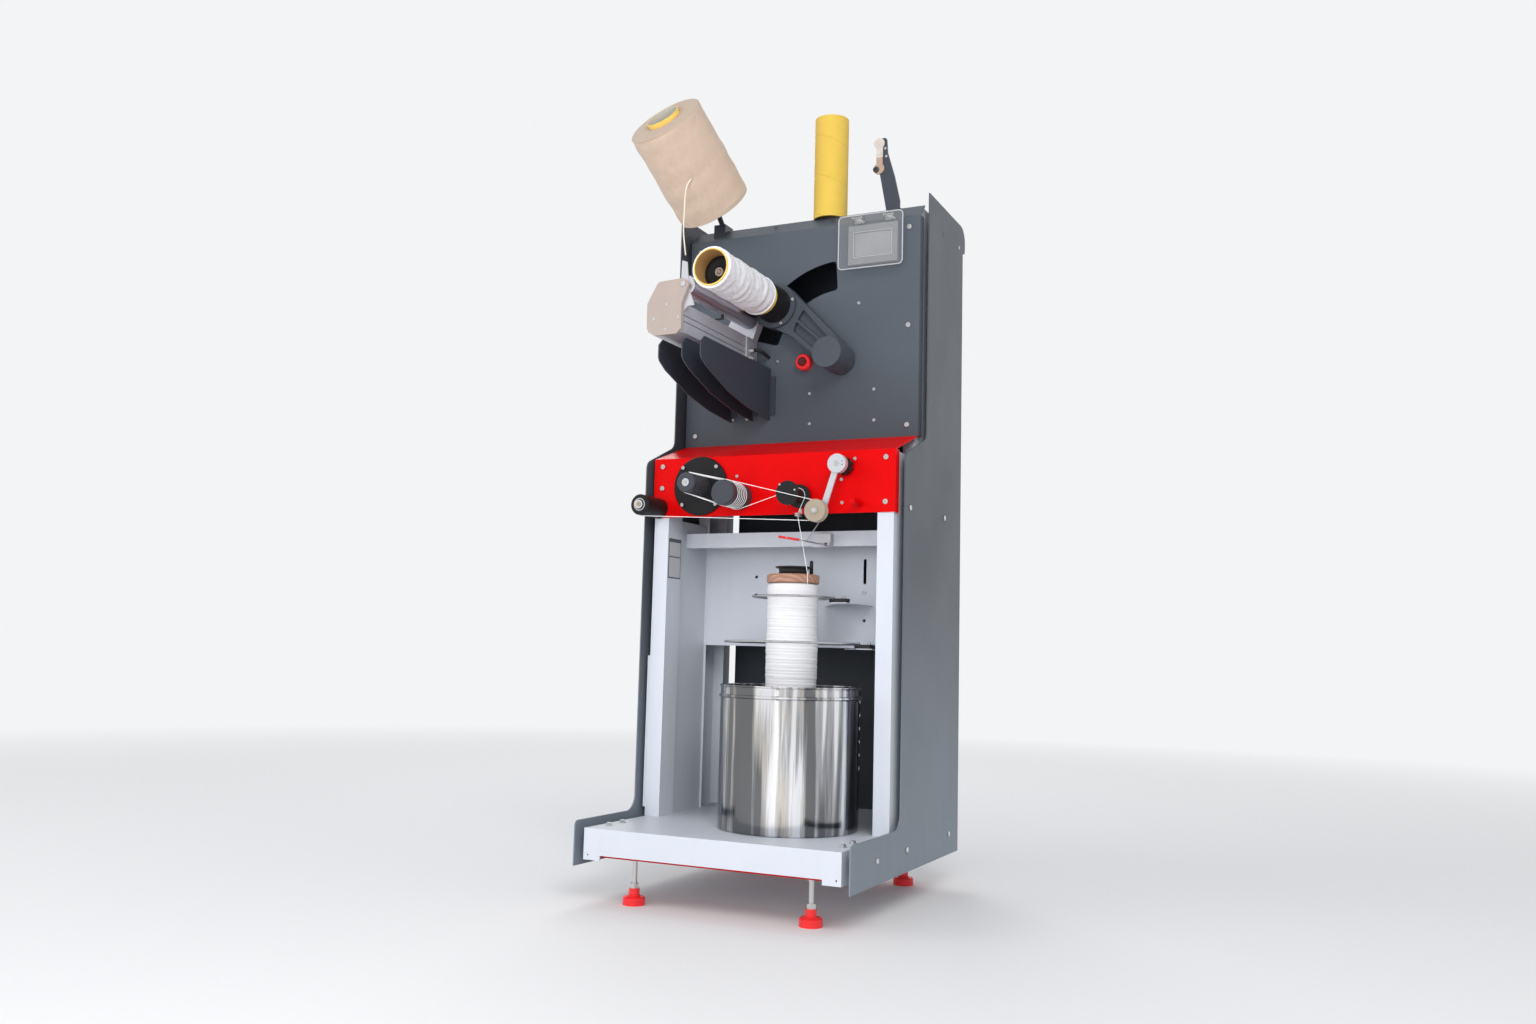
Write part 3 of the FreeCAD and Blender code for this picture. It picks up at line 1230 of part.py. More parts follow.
def operator_panel():
    """The bezel with a sunk screen, and the clear cover hung in front of it on two hinges."""
    front = d.upper_y - d.bezel_depth
    bezel = block((d.bezel_left, d.bezel_right), (front, d.upper_y), (d.bezel_low, d.bezel_high))
    window_x = (d.bezel_left + d.screen_side, d.bezel_right - d.screen_side)
    window_z = (d.bezel_low + d.screen_end, d.bezel_high - d.screen_end)
    window = block(window_x, (front, front + d.screen_thick * 2), window_z)
    publish("operator_housing", cut(bezel, window))
    publish("operator_screen",
            block(window_x, (front + d.screen_thick, front + d.screen_thick * 2), window_z))


def hinge_axis():
    return (d.upper_y - d.cover_gap + d.hinge_set, d.cover_high - d.hinge_drop)


def cover_hinges():
    """Two fixed hinge forks with their pins."""
    y, z = hinge_axis()
    forks = []
    for x in (d.hinge_x_left, d.hinge_x_right):
        outer = d.hinge_half + d.hinge_ear
        inner = d.hinge_half + d.seat_gap
        spans = ((x - outer, x - inner), (x + inner, x + outer))
        ears = [rod("x", (y, z), span, d.hinge_barrel) for span in spans]
        arms = [block(span, (y, d.upper_y), (z - d.hinge_barrel, z + d.hinge_barrel)) for span in spans]
        base = block((x - outer, x + outer), (d.upper_y - d.sheet, d.upper_y),
                     (z - d.hinge_barrel * 2, z + d.hinge_barrel))
        pin = rod("x", (y, z), (x - outer, x + outer), d.hinge_pin)
        forks.append(join(*ears, *arms, base, pin))
    publish("cover_hinges", group(*forks))


def clear_cover():
    y, z = hinge_axis()
    back = y - d.hinge_set
    sheet = prism("y", [
        (d.cover_left, d.cover_low), (d.cover_right, d.cover_low), (d.cover_right, d.cover_high),
        (d.cover_left, d.cover_high),
    ], (back - d.cover_thick, back), [(d.cover_round, (0, 1, 2, 3))])
    parts = [sheet]
    bores = []
    for x in (d.hinge_x_left, d.hinge_x_right):
        span = (x - d.hinge_half, x + d.hinge_half)
        parts.append(rod("x", (y, z), span, d.hinge_barrel))
        parts.append(block(span, (back, y), (z - d.hinge_pin, z + d.hinge_pin)))
        bores.append(rod("x", (y, z), span, d.hinge_pin + d.running_gap))
    publish("clear_cover", cut(join(*parts), *bores))


def emergency_stop():
    """A red collar round a sprung button whose stem passes the panel."""
    at = (d.stop_x, d.stop_z)
    collar_y = (d.upper_y - d.collar_depth, d.upper_y)
    inner = d.button_radius + d.seat_gap
    edge = d.sheet
    publish("stop_collar", turned("y", at, [
        (inner, collar_y[0]), (d.collar_radius - edge, collar_y[0]), (d.collar_radius, collar_y[0] + edge),
        (d.collar_radius, collar_y[1]), (inner, collar_y[1]),
    ]))
    head_back = d.button_front + d.button_head
    end = head_back + d.stem_length
    publish("stop_button", turned("y", at, [
        (0, d.button_front), (d.button_radius - 2, d.button_front), (d.button_radius, d.button_front + 2),
        (d.button_radius, head_back), (d.button_stem, head_back), (d.button_stem, end), (0, end),
    ]))


# ---- on top ----

def creel_frame():
    """Where the slanted package stands: its rear centre and its axis."""
    turn = math.radians(float(d.creel_turn))
    tilt = math.radians(float(d.creel_tilt))
    along = Vector(math.sin(turn) * math.cos(tilt), -math.cos(turn) * math.cos(tilt), math.sin(tilt))
    return Vector(float(d.creel_x), float(d.creel_y), float(d.creel_z)), along


def spare_tubes():
    """One paper tube standing on the top sheet and the tube inside the slanted package."""
    top = d.frame_top + d.sheet
    inner = d.tube_outer - d.tube_wall
    standing = sleeve("z", (d.spare_x, d.spare_y), (top, top + d.tube_length), d.tube_outer, inner)
    publish("spare_tube", standing)
    rear, along = creel_frame()
    start = rear - along * float((d.tube_length - d.creel_length) / 2)
    outer_solid = Part.makeCylinder(float(d.tube_outer), float(d.tube_length), start, along)
    inner_solid = Part.makeCylinder(float(inner), float(d.tube_length), start, along)
    publish("creel_tube", feature(outer_solid.cut(inner_solid)))


def creel_yarn():
    """The full package: a straight roll with rounded ends on its tube."""
    rear, along = creel_frame()
    length, outer, inner = float(d.creel_length), float(d.creel_radius), float(d.tube_outer)
    roll = Part.makeCylinder(outer, length, rear, along)
    rims = [edge for edge in roll.Edges if abs(edge.Length - 2 * math.pi * outer) < 1e-3]
    roll = roll.makeFillet(outer * 0.1, rims)
    publish("creel_yarn", feature(roll.cut(Part.makeCylinder(inner, length, rear, along))))


def creel_holder():
    """A bracket on the front edge of the top sheet with a bent mandrel for the package."""
    wall = d.sheet
    top = d.frame_top + wall
    low_y = d.upper_y + d.chamfer * 0.3
    low_z = d.upper_high + d.chamfer * 0.3
    bracket = prism("x", [
        (low_y, low_z), (d.upper_y + d.chamfer, top), (d.upper_y + d.chamfer * 1.6, top),
        (d.upper_y + d.chamfer * 1.6, top + wall * 4), (low_y, top + wall * 4),
    ], (d.creel_bracket_left, d.creel_bracket_right))
    rear, along = creel_frame()
    inner = float(d.tube_outer - d.tube_wall)
    foot = Vector(float(d.creel_bracket_left + d.creel_bracket_right) / 2,
                  float(d.upper_y + d.chamfer), float(top + d.mandrel_radius * 1.15))
    bend = rear - along * float(d.mandrel_radius) * 2.2
    end = rear + along * float(d.mandrel_reach)
    radius = float(d.mandrel_radius)
    first = Part.makeCylinder(radius, (bend - foot).Length, foot, bend - foot)
    second = Part.makeCylinder(radius, (end - bend).Length, bend, along)
    thick = float(d.seat_thick)
    seats = [Part.makeCylinder(inner, thick, rear + along * place_along, along)
             for place_along in (0, float(d.mandrel_reach) - thick)]
    elbow = Part.makeSphere(radius, bend)
    mandrel = feature(first.fuse([second, elbow] + seats))
    publish("creel_holder", join(bracket, mandrel))


def guide_arm():
    """A curved flat arm on the top sheet, with a foot behind it."""
    low = d.frame_top + d.sheet
    high = low + d.guide_arm_height
    left, right = d.guide_base_left, d.guide_base_right
    rise, lean = d.guide_arm_height, d.guide_lean
    arm = prism("y", [
        (left, low), (right, low), (right, low + rise * 0.12), (right - lean * 0.27, low + rise * 0.46),
        (right - lean * 0.62, low + rise * 0.8), (right - lean * 0.67, high), (right - lean, high),
        (right - lean, low + rise * 0.55), (left - lean * 0.09, low + rise * 0.14),
    ], (d.guide_plate_y, d.guide_plate_y + d.guide_plate),
        [(rise * 0.2, (3, 4)), (d.guide_plate, (2, 5, 6)), (rise * 0.2, (7,))])
    foot = block((left, right), (d.guide_plate_y, d.guide_plate_y + d.guide_foot),
                 (low, low + d.guide_plate))
    publish("guide_arm", join(arm, foot))
    x = right - lean
    lobe = d.pad_lobe
    y = (d.guide_plate_y - d.pad_thick, d.guide_plate_y)
    pad = join(
        rod("y", (x, high - lobe), y, lobe), rod("y", (x, high - rise * 0.42), y, lobe),
        block((x - lobe * 0.5, x + lobe * 0.7), y, (high - rise * 0.42, high - lobe)),
    )
    publish("guide_pad", pad)


# ---- yarn ----

def on_circle(stop, angle, y):
    x, z, radius = stop
    return Vector(x + radius * math.cos(angle), y, z + radius * math.sin(angle))


def belt(stops, y, closed=False):
    """Edges of yarn pulled round pulleys: stops are (x, z, radius), minus where it turns leftward."""
    ways = []
    legs = list(zip(stops, stops[1:] + stops[:1] if closed else stops[1:]))
    for (x, z, radius), (next_x, next_z, next_radius) in legs:
        span = math.hypot(next_x - x, next_z - z)
        lean = math.asin((radius - next_radius) / span)
        ways.append(math.atan2(next_z - z, next_x - x) - lean + math.pi / 2)
    edges = []
    for number, (first, second) in enumerate(legs):
        way = ways[number]
        leave, land = on_circle(first, way, y), on_circle(second, way, y)
        edges.append(Part.LineSegment(leave, land).toShape())
        if number + 1 < len(legs) or closed:
            after = ways[(number + 1) % len(ways)]
            sweep = (way - after) % (2 * math.pi)
            if second[2] < 0:
                sweep -= 2 * math.pi
            middle, end = on_circle(second, way - sweep / 2, y), on_circle(second, after, y)
            edges.append(Part.Arc(land, middle, end).toShape())
    return edges


def yarn_stops():
    """The pulleys that the yarn passes, with the radius of its middle line on each."""
    rise = float(d.seat_gap + d.yarn_thick)
    return {
        "feed": (float(d.feed_x), float(d.feed_z), float(d.feed_radius) + rise),
        "separator": (float(d.separator_x), float(d.separator_z), float(d.separator_radius) + rise),
        "guide": (float(d.pulley_x), float(d.pulley_z), -float(d.pulley_core) - rise),
        "dancer": (float(d.dancer_pulley_x), float(d.dancer_pulley_z),
                   float(d.dancer_pulley_radius - d.dancer_groove) + rise),
        "idler": (float(d.idler_x), float(d.idler_z), float(d.idler_radius) + rise),
    }


def running_yarn():
    """The yarn as it runs: up from the spool, round the rollers, round the dancer, to the idler."""
    thick = float(d.yarn_thick)
    stops = yarn_stops()
    solids = [supply_run(stops, thick), dancer_run(stops, thick)]
    sunk = [(x, z, radius - thick) for x, z, radius in (stops["feed"], stops["separator"])]
    for number in range(int(d.wraps.number)):
        y = float(supply_plane() - d.wrap_pitch * (number + 1))
        loop = belt(sunk, y, closed=True)
        solids.append(tube_along(Part.Wire(loop), thick))
    publish("running_yarn", feature(Part.makeCompound(solids)))


def supply_run(stops, thick):
    """From the spool's side past the drop wire and through the eyelet, over the guide pulley."""
    y = float(supply_plane())
    eye_z = float(d.band_low - d.eyelet_height / 2)
    side_x = float(d.can_x + d.spool_radius + d.seat_gap) + thick
    rim = Vector(side_x + thick, float(d.can_y), float(spool_top() + d.flange_thick + d.eyelet_height))
    x, z, reach = stops["separator"]
    planar = belt([(float(d.eyelet_x), eye_z, 0), stops["guide"], stops["separator"],
                   (x - reach, z + thick, 0)], y)
    onto = planar[0].Vertexes[1].Point
    start = Vector(side_x, float(d.can_y), float(spool_top() - d.flange_thick))
    spatial = rounded_path([start, rim, wire_touch(), Vector(float(d.eyelet_x), y, eye_z), onto])
    return tube_along(Part.Wire(spatial.Edges + planar[1:]), thick)


def dancer_run(stops, thick):
    """From the feed roller's top over the separator, round the dancer pulley, back to the idler."""
    y = float(d.dancer_pulley_front + d.dancer_pulley_width / 2)
    idler_x, idler_z, idler_reach = stops["idler"]
    path = belt([stops["feed"], stops["separator"], stops["dancer"], stops["idler"],
                 (idler_x - idler_reach, idler_z + thick * 4, 0)], y)
    return tube_along(Part.Wire(path), thick)


def tail_yarn():
    """The loose end that hangs down from the slanted package."""
    wire = rounded_path(tail_points())
    report_radii("tail_yarn", wire)
    publish("tail_yarn", feature(tube_along(wire, float(d.tail_thick))))


def tail_points():
    """The tail's route from the package's underside, as drops from its first point."""
    rear, along = creel_frame()
    side = along.cross(Vector(0, 0, 1)).normalize()
    under = along.cross(side)
    angle = math.radians(float(d.tail_angle))
    out = under * math.cos(angle) + side * math.sin(angle)
    start = rear + along * float(d.tail_along) + out * float(d.creel_radius + d.tail_thick + d.seat_gap)
    return [start + Vector(*step) * float(d.tail_fall) / 100 for step in TAIL_ROUTE]


def report_radii(name, wire):
    radii = [edge.Curve.Radius for edge in wire.Edges if hasattr(edge.Curve, "Radius")]
    print(name, "length", round(wire.Length, 1), "radii", [round(radius) for radius in radii])


def build():
    places = side_screw_places()
    side_panel("side_panel_left", -1, d.left_mid_y, d.left_upper_y, places)
    side_panel("side_panel_right", 1, d.right_mid_y, d.right_upper_y, places)
    for make in (
        base_tray, foot_rails, foot_pads, base_fixings, front_posts, side_frames, inner_sheets, crossbar,
        upper_front_panel, red_front_panel, rear_cover, panel_screws, traverse_plates, traverse_housing,
        threading_blade, traverse_guide, contact_roller, guard_plates, package_arm, spindle_motor, spindle,
        winding_tube, wound_yarn, fixed_shafts, disc_plate, feed_roller, separator_roller, idler_roller,
        guide_pulley, drive_motors, dancer_hub, dancer_arm, dancer_pulley, stop_peg, catch_can,
        supply_spool, balloon_rings, stop_sensor, drop_wire, yarn_eyelet, operator_panel, cover_hinges,
        clear_cover, emergency_stop, spare_tubes, creel_yarn, creel_holder, guide_arm, running_yarn,
        tail_yarn,
    ):
        make()
    doc.recompute()


def check_and_export():
    """Every object has to be sound before any file is written."""
    for item in doc.Objects:
        if "Invalid" in item.State or "Error" in item.State:
            raise RuntimeError(f"{item.Label} did not build: {item.State}")
    for part in NODES:
        if part.Shape.isNull() or not part.Shape.isValid():
            raise RuntimeError(f"{part.Label} has no sound shape")
    os.makedirs("parts", exist_ok=True)
    for part in NODES:
        part.Shape.exportStep(f"parts/{part.Label}.step")
    print(len(NODES), "parts written")


build()
check_and_export()
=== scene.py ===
import bpy
import math
import numpy as np
from mathutils import Matrix, Vector


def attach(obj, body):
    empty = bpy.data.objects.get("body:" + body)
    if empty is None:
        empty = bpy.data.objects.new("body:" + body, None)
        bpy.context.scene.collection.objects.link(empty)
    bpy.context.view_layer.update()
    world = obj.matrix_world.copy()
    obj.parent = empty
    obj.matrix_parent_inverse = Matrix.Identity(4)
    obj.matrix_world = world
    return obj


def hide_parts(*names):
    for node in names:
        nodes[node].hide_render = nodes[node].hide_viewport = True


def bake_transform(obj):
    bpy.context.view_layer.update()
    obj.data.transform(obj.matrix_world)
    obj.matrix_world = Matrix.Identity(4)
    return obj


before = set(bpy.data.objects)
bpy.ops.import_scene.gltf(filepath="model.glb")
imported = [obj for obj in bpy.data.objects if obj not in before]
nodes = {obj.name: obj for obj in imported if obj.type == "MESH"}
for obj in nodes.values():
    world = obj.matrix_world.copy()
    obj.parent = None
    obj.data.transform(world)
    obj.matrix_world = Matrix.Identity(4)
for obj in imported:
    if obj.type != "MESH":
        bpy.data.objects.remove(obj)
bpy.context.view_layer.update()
print("stage: frame loaded,", len(nodes), "nodes")

originShift = (20.6, -9.5, 0.0)  # mm, from the cabinet's middle to the frame's origin


def at(x, y, z):
    # cabinet millimetres to frame metres
    return np.array([(x + originShift[0]) / 1000, (y + originShift[1]) / 1000, (z + originShift[2]) / 1000])


def addObject(name, data):
    made = bpy.data.objects.new(name, data)
    bpy.context.scene.collection.objects.link(made)
    return made


# camera
cameraView = {"place": (1283.8, -2797.3, 558.3), "azimuth": 25.44, "elevation": 6.41, "roll": 1.49,
              "lens": 29.82}


def addCamera(view):
    az, el, roll = (math.radians(view[k]) for k in ("azimuth", "elevation", "roll"))
    ahead = Vector((-math.sin(az) * math.cos(el), math.cos(az) * math.cos(el), math.sin(el)))
    level = Vector((math.cos(az), math.sin(az), 0))
    up = level.cross(ahead)
    right = level * math.cos(roll) + up * math.sin(roll)
    top = up * math.cos(roll) - level * math.sin(roll)
    data = bpy.data.cameras.new("viewCamera")
    data.lens = view["lens"]
    data.sensor_width = 36
    data.clip_end = 60
    camera = addObject("viewCamera", data)
    turn = Matrix((right, top, -ahead)).transposed().to_4x4()
    camera.matrix_world = Matrix.Translation(Vector(at(*view["place"]))) @ turn
    bpy.context.scene.camera = camera


addCamera(cameraView)
print("stage: camera")


def addNode(source, kind, inputs=None, **settings):
    # a node in the tree that the source, a socket or another node, belongs to
    tree = source.id_data
    node = tree.nodes.new(kind)
    for key, value in settings.items():
        setattr(node, key, value)
    for key, value in (inputs or {}).items():
        if isinstance(value, bpy.types.NodeSocket):
            tree.links.new(value, node.inputs[key])
        else:
            node.inputs[key].default_value = value
    return node


def connect(value, node, key):
    node.id_data.links.new(value, node.inputs[key])


def math2(operation, a, b=0.0, c=0.0):
    return addNode(a, "ShaderNodeMath", {0: a, 1: b, 2: c}, operation=operation).outputs[0]


def vector2(operation, a, b=(0, 0, 0), outlet=0):
    return addNode(a, "ShaderNodeVectorMath", {0: a, 1: tuple(b)}, operation=operation).outputs[outlet]


def moved(coords, centre):
    # coordinates counted from a centre
    return addNode(coords, "ShaderNodeMapping",
                   {"Vector": coords, "Location": tuple(-np.asarray(centre))}).outputs[0]


def shade(color, factor):
    return (min(color[0] * factor, 1), min(color[1] * factor, 1), min(color[2] * factor, 1), 1)


socketNames = {"gloss": "Specular IOR Level", "sheen": "Sheen Weight", "coat": "Coat Weight"}


def startMaterial(name, metallic=0.0, **sockets):
    mat = bpy.data.materials.new(name)
    mat.use_nodes = True
    bsdf = mat.node_tree.nodes["Principled BSDF"]
    bsdf.inputs["Metallic"].default_value = metallic
    for key, value in sockets.items():
        bsdf.inputs[socketNames.get(key, key.replace("_", " "))].default_value = value
    return mat, bsdf, addNode(bsdf, "ShaderNodeTexCoord").outputs["Object"]


def noise(coords, scale, detail, roughness=0.55, stretch=(1, 1, 1)):
    if stretch != (1, 1, 1):
        coords = addNode(coords, "ShaderNodeMapping", {"Vector": coords, "Scale": stretch}).outputs[0]
    settings = {"Vector": coords, "Scale": scale, "Detail": detail, "Roughness": roughness}
    return addNode(coords, "ShaderNodeTexNoise", settings).outputs["Fac"]


def ramp(value, low, high, toLow=0.0, toHigh=1.0):
    limits = {"Value": value, "From Min": low, "From Max": high, "To Min": toLow, "To Max": toHigh}
    return addNode(value, "ShaderNodeMapRange", limits).outputs[0]


def mixColor(value, first, second):
    # inputs 6 and 7 are the node's two colours
    sockets = {"Factor": value, 6: first, 7: second}
    return addNode(value, "ShaderNodeMix", sockets, data_type="RGBA").outputs[2]


def setLook(bsdf, color, cloud=None, smooth=0.0, rough=0.0):
    # the colour, and if a cloud is given a roughness that goes with it
    connect(color, bsdf, "Base Color")
    if cloud is not None:
        connect(ramp(cloud, 0.3, 0.7, smooth, rough), bsdf, "Roughness")


def addBump(bsdf, height, distance):
    bump = addNode(height, "ShaderNodeBump", {"Height": height, "Distance": distance})
    connect(bump.outputs[0], bsdf, "Normal")


def darker(color, value):
    return addNode(color, "ShaderNodeHueSaturation", {"Color": color, "Value": value}).outputs[0]


def paintedHeightShade(coords, color, shadeRamp):
    # painted shade: darkened to the last value at the first height, untouched at the second
    low, high, darkest = shadeRamp
    height = addNode(coords, "ShaderNodeSeparateXYZ", {"Vector": coords}).outputs[2]
    return mixColor(ramp(height, low, high), darker(color, darkest), color)


def coatedMetal(name, color, rough, grain, depth, drift, shadeRamp=None, **sockets):
    # powder coat: an orange-peel bump, patchy roughness and a drift of colour, darker low down as painted
    # shade if asked
    mat, bsdf, coords = startMaterial(name, **sockets)
    patch = noise(coords, 5.0, 4.0)
    fine = noise(coords, grain, 2.0, 0.7)
    speck = noise(coords, grain * 0.45, 1.0)
    drifted = mixColor(patch, shade(color, 1 - drift), shade(color, 1 + drift))
    speckled = mixColor(ramp(speck, 0.6, 0.75, 0.0, 0.35), drifted, shade(color, 1.35))
    # painted shade: the coat darkens with height
    if shadeRamp:
        speckled = paintedHeightShade(coords, speckled, shadeRamp)
    setLook(bsdf, speckled, patch, rough - 0.06, rough + 0.08)
    addBump(bsdf, fine, depth)
    return mat


def bareMetal(name, color, rough, stretch, scale):
    # brushed or turned metal: streaks along one axis in colour, roughness and bump
    mat, bsdf, coords = startMaterial(name, metallic=1.0)
    streak = noise(coords, scale, 4.0, 0.6, stretch)
    smear = noise(coords, 14.0, 3.0)
    both = math2("MULTIPLY_ADD", smear, 0.5, math2("MULTIPLY", streak, 0.5))
    setLook(bsdf, mixColor(both, shade(color, 0.9), shade(color, 1.1)), both, rough * 0.8, rough * 1.25)
    addBump(bsdf, streak, 0.00003)
    return mat


def moulded(name, color, rough, grain=1200.0, depth=0.00005, **sockets):
    # plastic, rubber or fibre: cloudy colour and roughness over a fine grain
    mat, bsdf, coords = startMaterial(name, **sockets)
    patch = noise(coords, 22.0, 4.0)
    toned = mixColor(patch, shade(color, 0.9), shade(color, 1.1))
    setLook(bsdf, toned, patch, rough * 0.85, rough * 1.2)
    addBump(bsdf, noise(coords, grain, 2.0), depth)
    return mat


def lightCoat(name, color, rough, drift, shadeRamp=None, **sockets):
    # smooth paint: cloudy colour, faint run marks down its height and, if asked, a slow darkening with height
    # that is painted shade
    mat, bsdf, coords = startMaterial(name, **sockets)
    cloud = noise(coords, 3.2, 4.0, 0.6)
    marks = noise(coords, 26.0, 3.0, 0.6, (1, 1, 0.12))
    both = math2("MULTIPLY_ADD", marks, 0.45, math2("MULTIPLY", cloud, 0.55))
    toned = mixColor(ramp(both, 0.3, 0.7), shade(color, 1 - drift), shade(color, 1 + drift))
    # painted shade: the paint darkens with height
    if shadeRamp:
        toned = paintedHeightShade(coords, toned, shadeRamp)
    setLook(bsdf, toned, cloud, rough - 0.07, rough + 0.07)
    addBump(bsdf, noise(coords, 620.0, 2.0, 0.6), 0.00009)
    return mat


def localAxes(direction):
    # a rotation whose z axis is the given direction
    return Vector(direction).normalized().to_track_quat("Z", "Y").to_matrix()


def wrappedCoords(coords, centre, direction):
    # angle round an axis and height along it, from the object coordinates
    shifted = vector2("SUBTRACT", coords, centre)
    rows = [vector2("DOT_PRODUCT", shifted, row, 1) for row in localAxes(direction).transposed()]
    return math2("ARCTAN2", rows[1], rows[0]), rows[2]


def windingMaterial(name, spec, centre, direction):
    # yarn as helices: a sine of height and angle one way, and where spec crosses, patches of the other way
    mat, bsdf, coords = startMaterial(name, sheen=0.2, Sheen_Roughness=0.5, gloss=0.25, Roughness=0.88)
    angle, height = wrappedCoords(coords, centre, direction)
    pitch = 2 * math.pi * spec["radius"] * math.tan(math.radians(spec["lean"]))
    starts = max(1, round(pitch / spec["spacing"]))
    wander = noise(coords, spec["wanderScale"], 3.0)
    climb = math2("MULTIPLY", height, 2 * math.pi * starts / pitch)
    along = math2("MULTIPLY_ADD", wander, spec["wander"], climb)
    wave = math2("SINE", math2("MULTIPLY_ADD", angle, starts, along))
    if spec["crossed"]:
        back = math2("SINE", math2("MULTIPLY_ADD", angle, -starts, along))
        over = ramp(noise(coords, 60.0, 3.0), 0.42, 0.58)
        wave = math2("MULTIPLY_ADD", math2("SUBTRACT", back, wave), over, wave)
    band = noise(coords, spec["bandScale"], 3.0, 0.55, spec["bandStretch"])
    fuzz = noise(coords, 2600.0, 2.0)
    # the gap colour darkens the grooves between turns: painted shade
    base = mixColor(ramp(wave, -1.0, 0.2), shade(spec["color"], spec["gap"]), spec["color"] + (1,))
    toned = mixColor(ramp(band, 0.35, 0.7, 0.0, spec["patchy"]), base, spec["tint"] + (1,))
    # the end face darkened past a height: painted shade
    if "face" in spec:
        low, high, darkest = spec["face"]
        toned = mixColor(ramp(height, low, high), toned, darker(toned, darkest))
    setLook(bsdf, toned)
    addBump(bsdf, math2("MULTIPLY_ADD", fuzz, 0.7, wave), spec["depth"])
    return mat


def paperTube(name, spec, centre, direction):
    # spiral-wound paper: thin seams on a helix, one colour outside and another inside
    mat, bsdf, coords = startMaterial(name, coat=0.1, Coat_Roughness=0.35, gloss=0.3)
    angle, height = wrappedCoords(coords, centre, direction)
    cross = vector2("CROSS_PRODUCT", vector2("SUBTRACT", coords, centre), Vector(direction).normalized())
    away = vector2("LENGTH", cross, outlet=1)
    seam = math2("SINE", math2("MULTIPLY_ADD", height, 2 * math.pi / spec["seamPitch"], angle))
    seamLine = ramp(seam, 0.992, 0.998, 0.0, 0.3)
    cloud = noise(coords, 30.0, 5.0, 0.6)
    outer = ramp(away, tubeMiddle - 0.0005, tubeMiddle)
    wall = mixColor(outer, spec["inside"] + (1,), spec["outside"] + (1,))
    toned = mixColor(ramp(cloud, 0.35, 0.8, 0.0, 0.3), wall, shade(spec["outside"], 0.8))
    setLook(bsdf, mixColor(seamLine, toned, shade(spec["outside"], 0.62)), cloud, 0.5, 0.68)
    addBump(bsdf, math2("SUBTRACT", noise(coords, 800.0, 2.0), seamLine), 0.00008)
    return mat


def dressed(piece, look, body, replaced=None):
    # the finish with its slot, the body the piece rides on and the frame node it stands in for
    piece.data.materials.clear()
    piece.data.materials.append(finish[look])
    if body:
        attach(piece, body)
    if replaced:
        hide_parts(replaced)
    return piece


def newMesh(name, verts, faces, smooth=True):
    mesh = bpy.data.meshes.new(name)
    mesh.from_pydata(np.asarray(verts, float).tolist(), [], [list(map(int, f)) for f in faces])
    mesh.update()
    if smooth:
        mesh.shade_smooth()
    return addObject(name, mesh)


def meshPiece(name, shape, look, body="machine", replaced=None, smooth=True):
    return dressed(newMesh(name, *shape, smooth), look, body, replaced)


def gridFaces(rows, columns, closeRows=False):
    # quads of a grid of points whose columns run round and close
    row = np.arange(rows if closeRows else rows - 1)[:, None]
    column = np.arange(columns)[None, :]
    nextRow, nextColumn = (row + 1) % rows, (column + 1) % columns
    corners = [(row, column), (row, nextColumn), (nextRow, nextColumn), (nextRow, column)]
    return np.stack([(i * columns + j).ravel() for i, j in corners], axis=1)


def around(columns):
    return np.linspace(0, 2 * np.pi, columns, endpoint=False)


def arc(x, z, radius, start, end, count, tall=None):
    # points on a circle, or an ellipse if tall is given, between two angles in quarter turns
    angles = np.linspace(start, end, count) * np.pi / 2
    return [(x + radius * math.cos(t), z + (tall or radius) * math.sin(t)) for t in angles]


def turnedShape(profile, columns, radial=None):
    # a profile of (radius, height) points carried round the z axis; radial may change the radii
    profile = np.asarray(profile, float)
    theta = around(columns)
    radius = np.repeat(profile[:, :1], columns, axis=1)
    height = np.repeat(profile[:, 1:2], columns, axis=1)
    if radial is not None:
        radius = radial(theta[None, :], radius, height)
    return np.stack([radius * np.cos(theta), radius * np.sin(theta), height], axis=-1)


def capped(points):
    # a turned shape with a pole at each end, as vertices and faces that point outwards
    rows, columns, _ = points.shape
    verts = np.concatenate([points.reshape(-1, 3), points[0].mean(0)[None], points[-1].mean(0)[None]])
    faces = gridFaces(rows, columns).tolist()
    first, last = rows * columns, rows * columns + 1
    c = np.arange(columns)
    n = (c + 1) % columns
    base = (rows - 1) * columns
    faces += np.stack([n, c, np.full(columns, first)], axis=1).tolist()
    faces += np.stack([base + c, base + n, np.full(columns, last)], axis=1).tolist()
    return verts, faces


def turnedMm(rows, columns):
    return capped(turnedShape(np.array(rows) / 1000, columns))


def placed(verts, centre, direction):
    turn = np.array(localAxes(direction))
    return np.asarray(verts) @ turn.T + np.asarray(centre)


def joined(shapes):
    # many shapes, each (vertices, faces), as one
    allFaces = []
    count = 0
    for verts, faces in shapes:
        allFaces += [[i + count for i in f] for f in faces]
        count += len(verts)
    return np.concatenate([verts for verts, _ in shapes]), allFaces


def repeated(verts, faces, places):
    # the same small shape at many places, each (centre, direction)
    return joined([(placed(verts, centre, direction), faces) for centre, direction in places])


def boxShape(low, high):
    low, high = np.minimum(low, high), np.maximum(low, high)
    corners = np.array([[x, y, z] for x in (0, 1) for y in (0, 1) for z in (0, 1)])
    verts = low + corners * (high - low)
    faces = [[0, 1, 3, 2], [4, 6, 7, 5], [0, 4, 5, 1], [2, 3, 7, 6], [0, 2, 6, 4], [1, 5, 7, 3]]
    return verts, faces


def boxes(name, pairs, look, bevel=0.0006):
    piece = meshPiece(name, joined([boxShape(low, high) for low, high in pairs]), look, smooth=False)
    edge = piece.modifiers.new("edge", "BEVEL")
    edge.width = bevel
    edge.segments = 2
    edge.limit_method = "ANGLE"


